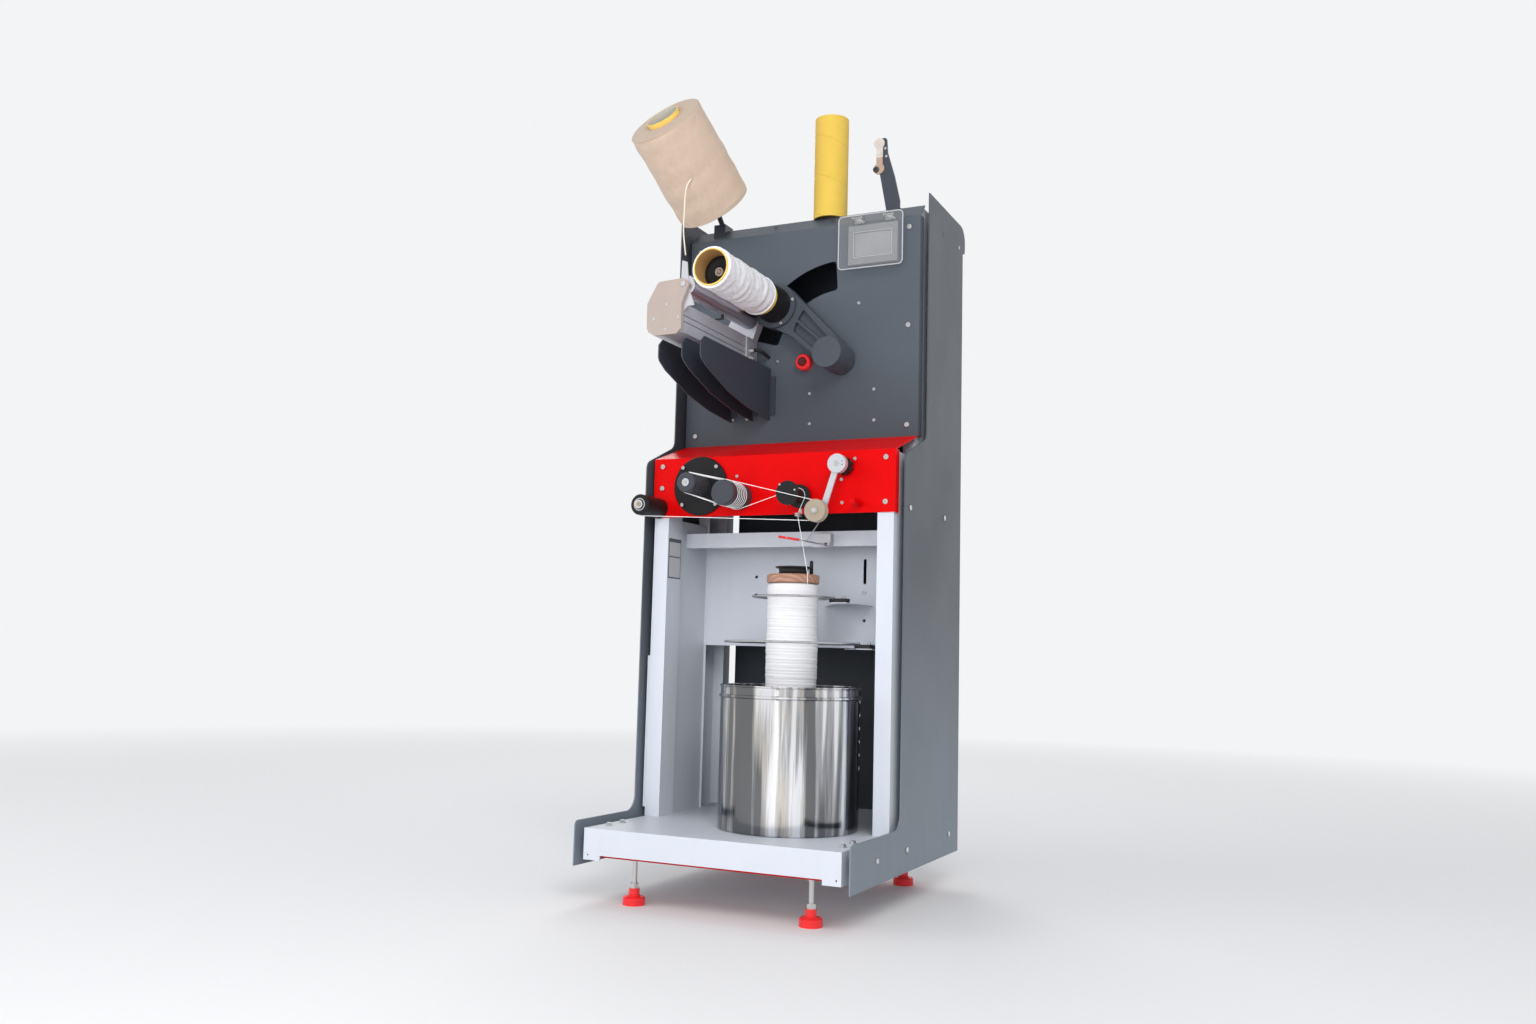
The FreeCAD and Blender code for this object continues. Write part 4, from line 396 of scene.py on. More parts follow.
def hexedShape(rows, columns):
    # rings of (radius, height, hexed) round z; a hexed ring follows a six-sided outline
    theta = around(columns)
    wedge = np.pi / 3
    hexagon = math.cos(wedge / 2) / np.cos((theta % wedge) - wedge / 2)
    reach = np.array([radius * (hexagon if hexed else np.ones(columns)) for radius, _, hexed in rows])
    height = np.repeat(np.array([[row[1]] for row in rows]), columns, axis=1)
    return capped(np.stack([reach * np.cos(theta), reach * np.sin(theta), height], axis=-1))


def screwShape(radius, height, socket=0.5, dome=0.35):
    # a domed head with a six-sided socket
    return hexedShape([
        (radius * 0.96, 0.0, 0), (radius, height * 0.12, 0), (radius, height * 0.5, 0),
        (radius * 0.93, height * 0.78, 0), (radius * 0.78, height * (1 - dome * 0.2), 0),
        (radius * 0.6, height, 0), (radius * socket, height * 0.98, 1),
        (radius * socket * 0.94, height * 0.9, 1), (radius * socket * 0.9, height * 0.3, 1),
    ], 24)


def boltShape(radius, height, washer):
    # a washer under a six-sided head with a chamfered top
    base = height * 0.3
    return hexedShape([
        (radius * washer, 0.0, 0), (radius * washer, base * 0.8, 0), (radius * washer * 0.96, base, 0),
        (radius * 1.12, base, 1), (radius * 1.12, height * 0.85, 1), (radius * 0.98, height, 0),
        (radius * 0.45, height, 0), (radius * 0.4, height * 0.93, 0),
    ], 36)


def pathCurve(name, points, radius, order, resolution, sides=3):
    # a bent wire or hose: a smooth path with a round section
    curve = bpy.data.curves.new(name, "CURVE")
    curve.dimensions = "3D"
    curve.bevel_depth = radius
    curve.bevel_resolution = sides
    curve.use_fill_caps = True
    spline = curve.splines.new("NURBS")
    spline.points.add(len(points) - 1)
    for point, place in zip(spline.points, points):
        point.co = (*place, 1)
    spline.order_u = order
    spline.use_endpoint_u = True
    spline.resolution_u = resolution
    return addObject(name, curve)


def tubePath(name, points, radius, look):
    holder = pathCurve(name + "Path", points, radius, 4, 6)
    mesh = bpy.data.meshes.new_from_object(holder)
    bpy.data.objects.remove(holder)
    mesh.name = name
    mesh.shade_smooth()
    dressed(addObject(name, mesh), look, "machine")


tailYarn = {
    "start": (-207.367, -152.299, 1720.548),
    "route": [(0, 0, 0), (-9.2, -1.8, -10.6), (-13.6, -2.8, -32.6), (-15, -2.8, -65.2), (-15.6, -2.8, -105.6),
              (-15.8, -3.4, -129.6), (-13.6, -2.8, -154.6), (-7.6, -2.4, -193.6)],
    "radius": 0.0018, "color": (0.86, 0.76, 0.62),
}


def yarnEnd(spec):
    places = at(*spec["start"]) + np.array(spec["route"]) / 1000
    cordPiece = pathCurve("tailCord", places, spec["radius"], 3, 12, 4)
    mat, bsdf, coords = startMaterial("tailYarnTwist", sheen=0.3, Roughness=0.9)
    twist = noise(coords, 900.0, 3.0, 0.6, (1, 1, 0.4))
    setLook(bsdf, mixColor(twist, shade(spec["color"], 0.75), shade(spec["color"], 1.1)))
    addBump(bsdf, twist, 0.0005)
    cordPiece.data.materials.append(mat)
    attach(cordPiece, "machine")
    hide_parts("tail_yarn")


yarnEnd(tailYarn)
print("stage: loose yarn end")

slate = (0.078, 0.092, 0.112)
finish = {
    # the slate coat's darkening low down and the side panels' darkening up high are painted shade
    "slate": coatedMetal("slatePowderCoat", slate, 0.44, 700.0, 0.00016, 0.1, (1.06, 1.3, 0.6), gloss=0.35),
    "slateSide": lightCoat("slateSidePanels", (0.195, 0.229, 0.266), 0.38, 0.07, (0.75, 0.12, 0.42),
                           gloss=0.2),
    "guardCoat": coatedMetal("blueBlackGuards", (0.036, 0.042, 0.056), 0.36, 700.0, 0.0001, 0.12),
    "armCoat": coatedMetal("castArmPaint", (0.066, 0.076, 0.092), 0.46, 420.0, 0.0002, 0.1, gloss=0.3),
    "red": lightCoat("redPowderCoat", (0.64, 0.0012, 0.002), 0.38, 0.05, gloss=0.08),
    "pale": lightCoat("paleBlueWhite", (0.59, 0.62, 0.68), 0.4, 0.035, gloss=0.4),
    "blackCoat": coatedMetal("blackCoat", (0.011, 0.011, 0.012), 0.5, 900.0, 0.00008, 0.15, gloss=0.25),
    "zinc": bareMetal("zincPlate", (0.68, 0.68, 0.67), 0.32, (1, 1, 1), 260.0),
    "steel": bareMetal("groundSteel", (0.80, 0.80, 0.85), 0.36, (1, 0.03, 1), 220.0),
    "wire": bareMetal("drawnWire", (0.56, 0.56, 0.57), 0.3, (1, 1, 1), 300.0),
    "silver": coatedMetal("silverPlate", (0.52, 0.53, 0.56), 0.4, 900.0, 0.00005, 0.06, metallic=0.35),
    "extrusion": coatedMetal("anodisedExtrusion", (0.58, 0.58, 0.63), 0.36, 1100.0, 0.00004, 0.06,
                             metallic=0.4),
    "castBeige": lightCoat("castPlateEnamel", (0.39, 0.32, 0.285), 0.42, 0.05),
    "blackPlastic": moulded("blackPlastic", (0.013, 0.013, 0.015), 0.42),
    "darkCap": moulded("darkGreyRubber", (0.038, 0.043, 0.052), 0.5, 700.0, 0.0001),
    "tan": moulded("tanCeramic", (0.33, 0.27, 0.20), 0.38, 900.0, 0.00004, coat=0.15),
    "redPlastic": moulded("redPlastic", (0.80, 0.018, 0.02), 0.35, 700.0, 0.00008, coat=0.2),
    "buttonRed": moulded("darkRedButton", (0.075, 0.008, 0.008), 0.4),
    "greyBezel": moulded("silverGreyBezel", (0.23, 0.235, 0.24), 0.4),
    "lightPlate": moulded("bareLabelPlate", (0.50, 0.51, 0.53), 0.5),
    "darkPlate": moulded("darkLabelFrame", (0.09, 0.095, 0.11), 0.5),
    "whiteYarn": moulded("runningYarn", (0.90, 0.90, 0.90), 0.85, 2400.0, 0.00008),
}


def polishedCan(name, centre):
    # bright rolled steel: streaks that run up the wall, as noise stretched along its height; their dark and
    # bright colours are partly rolling marks, partly painted reflection
    mat, bsdf, coords = startMaterial(name, metallic=1.0)
    centred = moved(coords, centre)
    broad = noise(centred, 15.0, 2.0, 0.45, (1, 1, 0.05))
    narrow = noise(centred, 62.0, 3.0, 0.6, (1, 1, 0.04))
    smoky = noise(centred, 9.0, 3.0, 0.5, (1, 1, 0.5))
    streak = math2("MULTIPLY_ADD", narrow, 0.3, math2("MULTIPLY", broad, 0.7))
    warm = mixColor(ramp(smoky, 0.42, 0.62), (0.40, 0.41, 0.43, 1), (0.56, 0.53, 0.49, 1))
    # dark and bright streak colours: painted reflection on top of the rolling marks
    dark = mixColor(ramp(streak, 0.47, 0.52), (0.17, 0.175, 0.18, 1), warm)
    streaksAndPaintedReflection = mixColor(ramp(streak, 0.53, 0.57), dark, (0.84, 0.84, 0.86, 1))
    setLook(bsdf, streaksAndPaintedReflection, narrow, 0.09, 0.2)
    addBump(bsdf, noise(centred, 240.0, 2.0, 0.5, (1, 1, 0.03)), 0.000012)
    return mat


def clearSheet(name):
    # a clear sheet with a faint haze, mostly see-through
    mat, bsdf, coords = startMaterial(name, IOR=1.49, coat=0.5, Coat_Roughness=0.05, Alpha=0.11)
    haze = noise(coords, 30.0, 4.0)
    setLook(bsdf, mixColor(haze, (0.34, 0.36, 0.37, 1), (0.46, 0.48, 0.50, 1)), haze, 0.04, 0.14)
    return mat


def screenGlass(name):
    # a blank screen: cloudy grey under a thin gloss
    mat, bsdf, coords = startMaterial(name, coat=0.4, Coat_Roughness=0.1, Roughness=0.35)
    cloud = noise(coords, 26.0, 3.0)
    fine = noise(coords, 1500.0, 1.0)
    setLook(bsdf, mixColor(cloud, (0.25, 0.255, 0.26, 1), (0.34, 0.345, 0.35, 1)))
    addBump(bsdf, fine, 0.00002)
    return mat


def varnishedWood(name, centre):
    # growth rings round a line beside the piece, with pores, under varnish
    mat, bsdf, coords = startMaterial(name, coat=0.3, Coat_Roughness=0.25)
    centred = moved(coords, np.asarray(centre) - 0.4)
    wave = {"Vector": centred, "Scale": 34.0, "Distortion": 4.0, "Detail": 3.0, "Detail Scale": 1.5}
    rings = addNode(coords, "ShaderNodeTexWave", wave, wave_type="RINGS", rings_direction="X").outputs["Fac"]
    pores = noise(coords, 500.0, 2.0, 0.6, (0.1, 1, 1))
    setLook(bsdf, mixColor(rings, (0.30, 0.15, 0.09, 1), (0.43, 0.24, 0.16, 1)))
    connect(ramp(rings, 0.0, 1.0, 0.35, 0.5), bsdf, "Roughness")
    addBump(bsdf, math2("MULTIPLY_ADD", pores, 0.6, rings), 0.00008)
    return mat


def splitByAxis(name, axis, edge, low, high, rough, lowMetal=0.0, highMetal=0.0):
    # one colour below a place on an axis and another above it, each with its own metal share
    mat, bsdf, coords = startMaterial(name)
    place = addNode(coords, "ShaderNodeSeparateXYZ", {"Vector": coords}).outputs[axis]
    side = ramp(place, edge - 0.0004, edge + 0.0004)
    cloud = noise(coords, 60.0, 4.0)
    toned = mixColor(side, low + (1,), high + (1,))
    spotted = mixColor(ramp(cloud, 0.35, 0.75, 0.0, 0.3), toned, shade(low, 0.7))
    setLook(bsdf, spotted, cloud, rough - 0.06, rough + 0.08)
    connect(ramp(side, 0.0, 1.0, lowMetal, highMetal), bsdf, "Metallic")
    addBump(bsdf, noise(coords, 1300.0, 2.0), 0.00004)
    return mat


spindlePlace = at(-49.02, 0, 1428.08)
creelAxis = (-0.17647, -0.74658, 0.64145)
creelRear = at(-225.8, 6.5, 1705.9)
spareTube = at(55.0, 112.0, 1667.0)
canPlace = at(68.0, -95.0, 0)
acrossDepth = (0, 1, 0)

tubeMiddle = 0.0412  # radius between a paper tube's outside and inside
paper = {
    "winding": {"outside": (0.80, 0.56, 0.13), "inside": (0.44, 0.25, 0.105), "seamPitch": 0.11},
    "spare": {"outside": (0.72, 0.49, 0.08), "inside": (0.50, 0.40, 0.25), "seamPitch": 0.105},
    "creel": {"outside": (0.80, 0.55, 0.12), "inside": (0.47, 0.47, 0.44), "seamPitch": 0.12},
}
yarn = {
    # gap darkens the grooves between turns as painted shade
    "package": {"color": (0.95, 0.95, 0.97), "tint": (0.86, 0.86, 0.90), "radius": 0.05, "spacing": 0.0014,
                "lean": 9, "wander": 5.0, "wanderScale": 24.0, "crossed": True, "gap": 0.9, "patchy": 0.4,
                "depth": 0.0003, "bandScale": 24.0, "bandStretch": (1, 1, 1)},
    "supply": {"color": (0.96, 0.96, 0.98), "tint": (0.92, 0.92, 0.93), "radius": 0.0615, "spacing": 0.0021,
               "lean": 0.6, "wander": 9.0, "wanderScale": 14.0, "crossed": False, "gap": 0.92, "patchy": 0.5,
               "depth": 0.0004, "bandScale": 30.0, "bandStretch": (0.25, 0.25, 3.5)},
    "creel": {"color": (0.68, 0.53, 0.41), "tint": (0.70, 0.50, 0.375), "radius": 0.099, "spacing": 0.0015,
              "lean": 13, "wander": 4.0, "wanderScale": 9.0, "crossed": True, "gap": 0.93, "patchy": 0.35,
              # face darkens the roll's end face as painted shade
              "face": (0.2515, 0.255, 0.72), "depth": 0.00022, "bandScale": 11.0, "bandStretch": (1, 1, 1)},
}
finish["can"] = polishedCan("polishedCan", canPlace)
finish["clear"] = clearSheet("clearCoverSheet")
finish["screen"] = screenGlass("screenGlass")
finish["wood"] = varnishedWood("varnishedWood", at(68, -95, 735))
finish["tube"] = paperTube("windingTubePaper", paper["winding"], spindlePlace, acrossDepth)
finish["spareTube"] = paperTube("spareTubePaper", paper["spare"], spareTube, (0, 0, 1))
finish["creelTube"] = paperTube("creelTubePaper", paper["creel"], creelRear, creelAxis)
finish["woundYarn"] = windingMaterial("whiteWoundYarn", yarn["package"], spindlePlace, acrossDepth)
finish["supplyYarn"] = windingMaterial("supplyWhiteYarn", yarn["supply"], canPlace, (0, 0, 1))
finish["creelYarn"] = windingMaterial("peachYarn", yarn["creel"], creelRear, creelAxis)
finish["dropWire"] = splitByAxis("wireWithRedGrip", 0, at(63.2, 0, 0)[0], (0.80, 0.02, 0.015),
                                 (0.55, 0.55, 0.56), 0.36, 0.0, 1.0)
finish["guidePad"] = splitByAxis("ivoryOverBeigePad", 2, 1.806, (0.42, 0.30, 0.23), (0.60, 0.55, 0.50), 0.42)
print("stage: finishes")

nodeFinish = {
    "slate": ["upper_front_panel", "rear_cover"],
    "guardCoat": ["guard_plates", "guide_arm", "creel_holder"],
    "armCoat": ["package_arm"],
    "slateSide": ["side_panel_left", "side_panel_right"],
    "red": ["red_front_panel", "stop_peg", "foot_rails"],
    "pale": ["base_tray", "front_posts", "side_frames", "inner_sheets", "crossbar"],
    "blackCoat": ["disc_plate", "idler_roller", "guide_pulley", "drive_motors", "spindle_motor", "spindle"],
    "darkCap": ["feed_roller", "separator_roller"],
    "zinc": ["base_fixings", "cover_hinges"],
    "steel": ["fixed_shafts", "contact_roller", "threading_blade"],
    "wire": ["balloon_rings", "yarn_eyelet"],
    "silver": ["dancer_arm", "stop_sensor"],
    "extrusion": ["traverse_housing", "traverse_rear_bracket"],
    "castBeige": ["traverse_front_plate"],
    "blackPlastic": ["traverse_guide", "dancer_hub", "spool_knob", "ring_holders"],
    "buttonRed": ["stop_button"],
    "tan": ["dancer_pulley"],
    "redPlastic": ["foot_pads", "stop_collar"],
    "greyBezel": ["operator_housing"],
    "screen": ["operator_screen"],
    "clear": ["clear_cover"],
    "wood": ["spool_flanges"],
    "tube": ["winding_tube"],
    "spareTube": ["spare_tube"],
    "creelTube": ["creel_tube"],
    "whiteYarn": ["running_yarn"],
    "dropWire": ["drop_wire"],
    "guidePad": ["guide_pad"],
}
for key, names in nodeFinish.items():
    for name in names:
        node = nodes[name]
        node.data.materials.clear()
        node.data.materials.append(finish[key])
print("stage: frame nodes dressed")


def woundRoll(name, replaced, body, look, centre, direction, profile, columns, spec):
    # a closed profile round the axis; its outer face sinks in by crossing helices and slow swells
    rng = np.random.default_rng(spec["seed"])
    swells = rng.uniform(0, 2 * np.pi, 6)
    outer = max(r for r, _ in profile)

    def radial(theta, radius, height):
        lift = np.zeros_like(radius)
        for k, way in enumerate(spec["ways"]):
            turns = 2 * np.pi * height / spec["pitch"][k] + way * spec["starts"][k] * theta + swells[k]
            lift = lift + np.cos(turns) * spec["ridge"] / 2
        slow = np.cos(height * spec["slow"] + swells[4])
        slow = slow + 0.6 * np.cos(height * spec["slow"] * 2.3 + 2 * theta + swells[5])
        drop = spec["ridge"] * 2 - lift + spec["swell"] * (1.6 - slow) / 2
        onFace = np.clip((radius - outer * 0.97) / (outer * 0.02), 0, 1)
        return radius - np.clip(drop, 0, None) * onFace

    points = turnedShape(profile, columns, radial)
    shape = placed(points.reshape(-1, 3), centre, direction), gridFaces(len(profile), columns, closeRows=True)
    meshPiece(name, shape, look, body, replaced=replaced)


def rollProfile(outer, inner, start, end, rows, edge, faceRings=10, shoulder=0.0):
    # rear face, outer face, front face and bore, as (radius, height); the front edge may be a longer shoulder
    last = max(edge, shoulder)
    loop = [(r, start) for r in np.linspace(inner, outer - edge, faceRings)]
    loop += arc(outer - edge, start + edge, edge, -1, 0, 9)[1:]
    loop += [(outer, h) for h in np.linspace(start + edge, end - last, rows)[1:-1]]
    loop += arc(outer - last, end - last, last, 0, 1, 9)
    loop += [(r, end) for r in np.linspace(outer - last, inner, faceRings)[1:]]
    loop += [(inner, h) for h in np.linspace(end, start, 8)[1:-1]]
    return loop


rolls = {
    "wound": {"pitch": (0.030, 0.034, 0.045, 0.024), "starts": (1, 1, 2, 1), "ways": (1, -1, 1, -1),
              "ridge": 0.0007, "slow": 70.0, "swell": 0.0018, "seed": 4},
    "creel": {"pitch": (0.066, 0.066, 0.12, 0.05), "starts": (1, 1, 1, 2), "ways": (1, -1, 1, -1),
              "ridge": 0.0007, "slow": 22.0, "swell": 0.0012, "seed": 9},
    "supply": {"pitch": (0.0083, 0.0062, 0.0131, 0.0197), "starts": (1, 1, 1, 1), "ways": (1, 0, 1, 0),
               "ridge": 0.00055, "slow": 38.0, "swell": 0.0014, "seed": 2},
}
woundRoll("packageWindings", "wound_yarn", "package", "woundYarn", spindlePlace, acrossDepth,
          rollProfile(0.0505, 0.0434, -0.3275, -0.0855, 150, 0.004), 120, rolls["wound"])
woundRoll("creelWindings", "creel_yarn", "machine", "creelYarn", creelRear, creelAxis,
          rollProfile(0.099, 0.0434, 0.0, 0.256, 170, 0.0095, 26), 180, rolls["creel"])
woundRoll("supplyWindings", "supply_yarn", "machine", "supplyYarn", canPlace, (0, 0, 1),
          rollProfile(0.0615, 0.004, 0.1806, 0.7249, 430, 0.004, 10, 0.014), 110, rolls["supply"])
creelTube = {"outer": 0.0434, "inner": 0.0405, "start": -0.005, "end": 0.2675, "edge": 0.0005,
             "run": (0.02, 0.25)}


def longTube(spec):
    # the slanted package's tube, a closed loop of wall points turned round its axis, proud of the yarn's end
    o, i, a, b, e = (spec[k] for k in ("outer", "inner", "start", "end", "edge"))
    run = np.linspace(*spec["run"], 6)
    loop = [(i, a), (o - e, a), (o, a + e)] + [(o, h) for h in run]
    loop += [(o, b - e), (o - e, b), (i + e, b), (i, b - e)] + [(i, h) for h in run[::-1]]
    verts = placed(turnedShape(loop, 96).reshape(-1, 3), creelRear, creelAxis)
    meshPiece("creelTubeWall", (verts, gridFaces(len(loop), 96, closeRows=True)), "creelTube",
              replaced="creel_tube")


longTube(creelTube)
print("stage: wound packages")

can = {"radius": 0.161, "wall": 0.0015, "low": 0.167, "high": 0.490, "bead": 0.0038, "beadDrop": 0.025,
       "rim": 0.002, "foot": 0.005, "columns": 168}


def rolledCan(spec):
    # the wall's outside up from the floor's middle, over the rolled rim and down the inside, turned round z
    r, w, low, high = spec["radius"], spec["wall"], spec["low"], spec["high"]
    foot, bead, rim = spec["foot"], spec["bead"], spec["rim"]
    middle = high - spec["beadDrop"]
    outside = [(x, low) for x in np.linspace(0.02, r - foot, 6)]
    outside += arc(r - foot, low + foot, foot, -1, 0, 6)[1:]
    outside += [(r, z) for z in np.linspace(low + foot, middle - bead - 0.002, 12)[1:]]
    outside += arc(r, middle, bead, -1, 1, 11)
    outside += [(r, z) for z in np.linspace(middle + bead + 0.001, high - 2 * rim - 0.001, 5)]
    roll = arc(r - w + rim, high - rim, rim, -2 / 3, 2, 13)
    inside = [(r - w, z) for z in np.linspace(high - rim - 0.001, low + w + 0.004, 10)]
    inside += [(r - w - 0.0015, low + w + 0.001)] + [(x, low + w) for x in np.linspace(r - 0.006, 0.02, 6)]
    verts, faces = capped(turnedShape(outside + roll + inside, spec["columns"]))
    meshPiece("catchCanShell", (verts + canPlace, faces), "can", replaced="catch_can")


rolledCan(can)
print("stage: can")


def scatter(name, shape, places, look, body="machine", replaced=None):
    meshPiece(name, repeated(*shape, places), look, body, replaced=replaced)


def ringShape(major, minor, flat):
    # a torus about z: the angle round the ring and the angle round its section; flat squeezes its height
    columns, rows = 40, 10
    u, v = around(columns)[None, :], around(rows)[:, None]
    reach = major + minor * np.cos(v)
    points = np.stack([reach * np.cos(u), reach * np.sin(u), minor * flat * np.sin(v) + 0 * u], axis=-1)
    return points.reshape(-1, 3), gridFaces(rows, columns, closeRows=True)


def plugShape(radius, height, columns=24):
    # a low domed disc: radius times cosine, height times sine of the same angle
    profile = [(radius, 0.0)] + arc(0, height * 0.3, radius, 0, 0.96, 6, height * 0.7)
    return capped(turnedShape(profile, columns))


front, right, left, up = (0, -1, 0), (1, 0, 0), (-1, 0, 0), (0, 0, 1)
panelHeads = {
    "upper": [(-288, 1115), (-288, 1605), (288, 1605), (288, 1360), (288, 1115)],
    "band": [(292.3, 1013.8), (292.3, 911.5), (-292.3, 1013.8), (-292.3, 960)],
    "side": [(-32.5, 903), (226.5, 907), (-214.8, 132.8), (-24, 132.8), (286.4, 132.8)],
    "plate": [(-156.5, 1348.5), (-124.5, 1316.5), (-188.5, 1316.5), (-156.5, 1290.9)],
}
bandFront, panelFront, plateFront, discFront = -94, 57, -338, -105.4
headPlaces = [(at(x, panelFront, z), front) for x, z in panelHeads["upper"]]
headPlaces += [(at(x, bandFront, z), front) for x, z in panelHeads["band"]]
headPlaces += [(at(330, y, z), right) for y, z in panelHeads["side"]]
headPlaces += [(at(-330, y, z), left) for y, z in panelHeads["side"]]
scatter("panelScrewHeads", screwShape(0.0065, 0.0035), headPlaces, "zinc", replaced="panel_screws")
plateHeads = [(at(x, plateFront, z), front) for x, z in panelHeads["plate"]]
scatter("platePinHeads", screwShape(0.0038, 0.0014, 0.5, 0.1), plateHeads, "silver", replaced="panel_screws")

armFlange = {"centre": (-49.02, 8, 1428.08), "reach": 50.8, "angles": (11.4, 112, 202, 292.5)}
flangeX, flangeY, flangeZ = armFlange["centre"]
armPlaces = [(flangeX + armFlange["reach"] * math.cos(math.radians(a)), flangeY,
              flangeZ + armFlange["reach"] * math.sin(math.radians(a))) for a in armFlange["angles"]]
smallPlaces = [(x, panelFront, z) for x, z in [
    (159.4, 1426.3), (31.7, 1207.6), (202.6, 1207.6), (33.5, 1131), (204, 1131), (-59, 1296.1),
    (-140.2, 1152.8), (-129, 1157.3), (-180.1, 1152.5)]]
smallPlaces += [(216.1, bandFront, 1013.1), (184.0, bandFront, 966.1), (186.4, bandFront, 911.8),
                (-87.0, bandFront, 983.0)]
discPlaces = [(x, discFront, z) for z in (1007.5, 916.5) for x in (-229.5, -138.5)]
dancerCap = (194, -152, 995)
capDots = [(dancerCap[0] + 14.5 * math.cos(a), dancerCap[1], dancerCap[2] + 14.5 * math.sin(a))
           for a in (0.35, -0.25)]
slanted = (0, -0.7071, 0.7071)

# name, shape, finish, body, direction, places
fittings = [
    ("smallScrewHeads", screwShape(0.0042, 0.0022), "zinc", "machine", front, smallPlaces),
    ("discScrewHeads", screwShape(0.0047, 0.0016), "zinc", "machine", front, discPlaces),
    ("armFlangeScrews", screwShape(0.0044, 0.0022), "zinc", "arm", front, armPlaces),
    ("feedRollerCap", plugShape(0.0095, 0.002), "silver", "feed_roller", front, [(-178, -184, 960)]),
    ("feedRollerScrew", screwShape(0.0045, 0.0016), "zinc", "feed_roller", front, [(-178, -186, 960)]),
    ("idlerEndRing", ringShape(0.014, 0.0016, 0.8125), "zinc", "idler_roller", front, [(-300, -188, 910)]),
    ("idlerPinScrew", screwShape(0.0065, 0.0016), "tan", "machine", front, [(-300, -192.4, 910)]),
    ("dancerPulleyBolt", boltShape(0.0056, 0.0042, 1.3), "zinc", "dancer", front, [(158, -190.4, 884)]),
    ("dancerCapScrew", screwShape(0.006, 0.0016), "zinc", "dancer", front, [dancerCap]),
    ("dancerCapPins", plugShape(0.0014, 0.0006, 12), "blackPlastic", "dancer", front, capDots),
    ("guidePulleyScrews", screwShape(0.0026, 0.0014), "zinc", "guide_pulley", front,
     [(64, -175, 947.5), (102, -175, 934)]),
    ("guideArmScrews", screwShape(0.0036, 0.002), "zinc", "machine", front,
     [(209.2, 92, 1829), (212.2, 92, 1808)]),
    ("padKnob", screwShape(0.0078, 0.005, 0.45, 0.5), "darkCap", "machine", front, [(187, 88, 1775)]),
    ("backPlateScrews", screwShape(0.0066, 0.0026), "pale", "machine", front,
     [(156.9, 129.7, 717.3), (-296.1, 129.7, 599.2)]),
    ("topEdgePlugs", plugShape(0.0052, 0.0009), "blackPlastic", "machine", slanted,
     [(-76.9, 66.1, 1651.9), (81.6, 66.1, 1651.9)]),
    ("airFitting", boltShape(0.0062, 0.012, 1.25), "zinc", "machine", right,
     [(-114, 11, 1318), (-114, 11, 1298)]),
]
for name, shape, look, body, way, places in fittings:
    scatter(name, shape, [(at(*place), way) for place in places], look, body)
scatter("sideTopScrew", screwShape(0.0045, 0.0022),
        [(at(330, 329, 1630.5), right), (at(-330, 329, 1630.5), left)], "zinc")
print("stage: screws")

boxes("sidePanelSlot", [(at(329.8, 195.6, 1618.5), at(330.35, 198.8, 1631))], "blackPlastic", 0.0002)
boxes("sideStrip", [(at(-318, -92, 188), at(-311.9, -70, 550))], "pale")

yarnStops = {"feed": (-178.0, 960.0, 25.4), "separator": (-75.0, 932.0, 31.4), "guide": (83.0, 928.0, -18.4),
             "dancer": (158.0, 884.0, 22.4), "idler": (-300.0, 910.0, 26.4)}
yarnRun = {"radius": 0.75, "thick": 1.1, "supplyY": -115.1, "dancerY": -178.0, "pitch": 9.0, "wraps": 6,
           "step": 1.5, "lay": 5.0, "columns": 8,
           "spool": [(119.4, -130.2, 716), (119.8, -130.7, 744), (94.2, -109.2, 824), (84, -115.1, 884)]}


def beltPoints(stops, y, closed=False):
    # yarn pulled round pulleys: tangent runs joined by arcs; a negative radius is passed on the other side
    legs = list(zip(stops, stops[1:] + stops[:1] if closed else stops[1:]))
    ways = []
    for (x, z, radius), (nextX, nextZ, nextRadius) in legs:
        lean = math.asin((radius - nextRadius) / math.hypot(nextX - x, nextZ - z))
        ways.append(math.atan2(nextZ - z, nextX - x) - lean + math.pi / 2)
    points = []
    for k, (first, second) in enumerate(legs):
        way = ways[k]
        for x, z, radius in (first, second):
            points.append((x + radius * math.cos(way), y, z + radius * math.sin(way)))
        if k + 1 < len(legs) or closed:
            sweep = (way - ways[(k + 1) % len(ways)]) % (2 * math.pi) - (2 * math.pi if second[2] < 0 else 0)
            x, z, radius = second
            turns = np.linspace(way, way - sweep, 2 + int(abs(sweep) / 0.1))[1:-1]
            points += [(x + radius * math.cos(t), y, z + radius * math.sin(t)) for t in turns]
    return points


def roundCorners(points, reach):
    # each inner corner becomes a short parabola between points at the same reach from it
    points = [np.asarray(p, float) for p in points]
    result = [points[0]]
    for before, corner, after in zip(points, points[1:], points[2:]):
        start = corner + (before - corner) * reach / np.linalg.norm(before - corner)
        end = corner + (after - corner) * reach / np.linalg.norm(after - corner)
        result += [start * (1 - t) ** 2 + corner * 2 * t * (1 - t) + end * t ** 2
                   for t in np.linspace(0, 1, 7)]
    return result + [points[-1]]


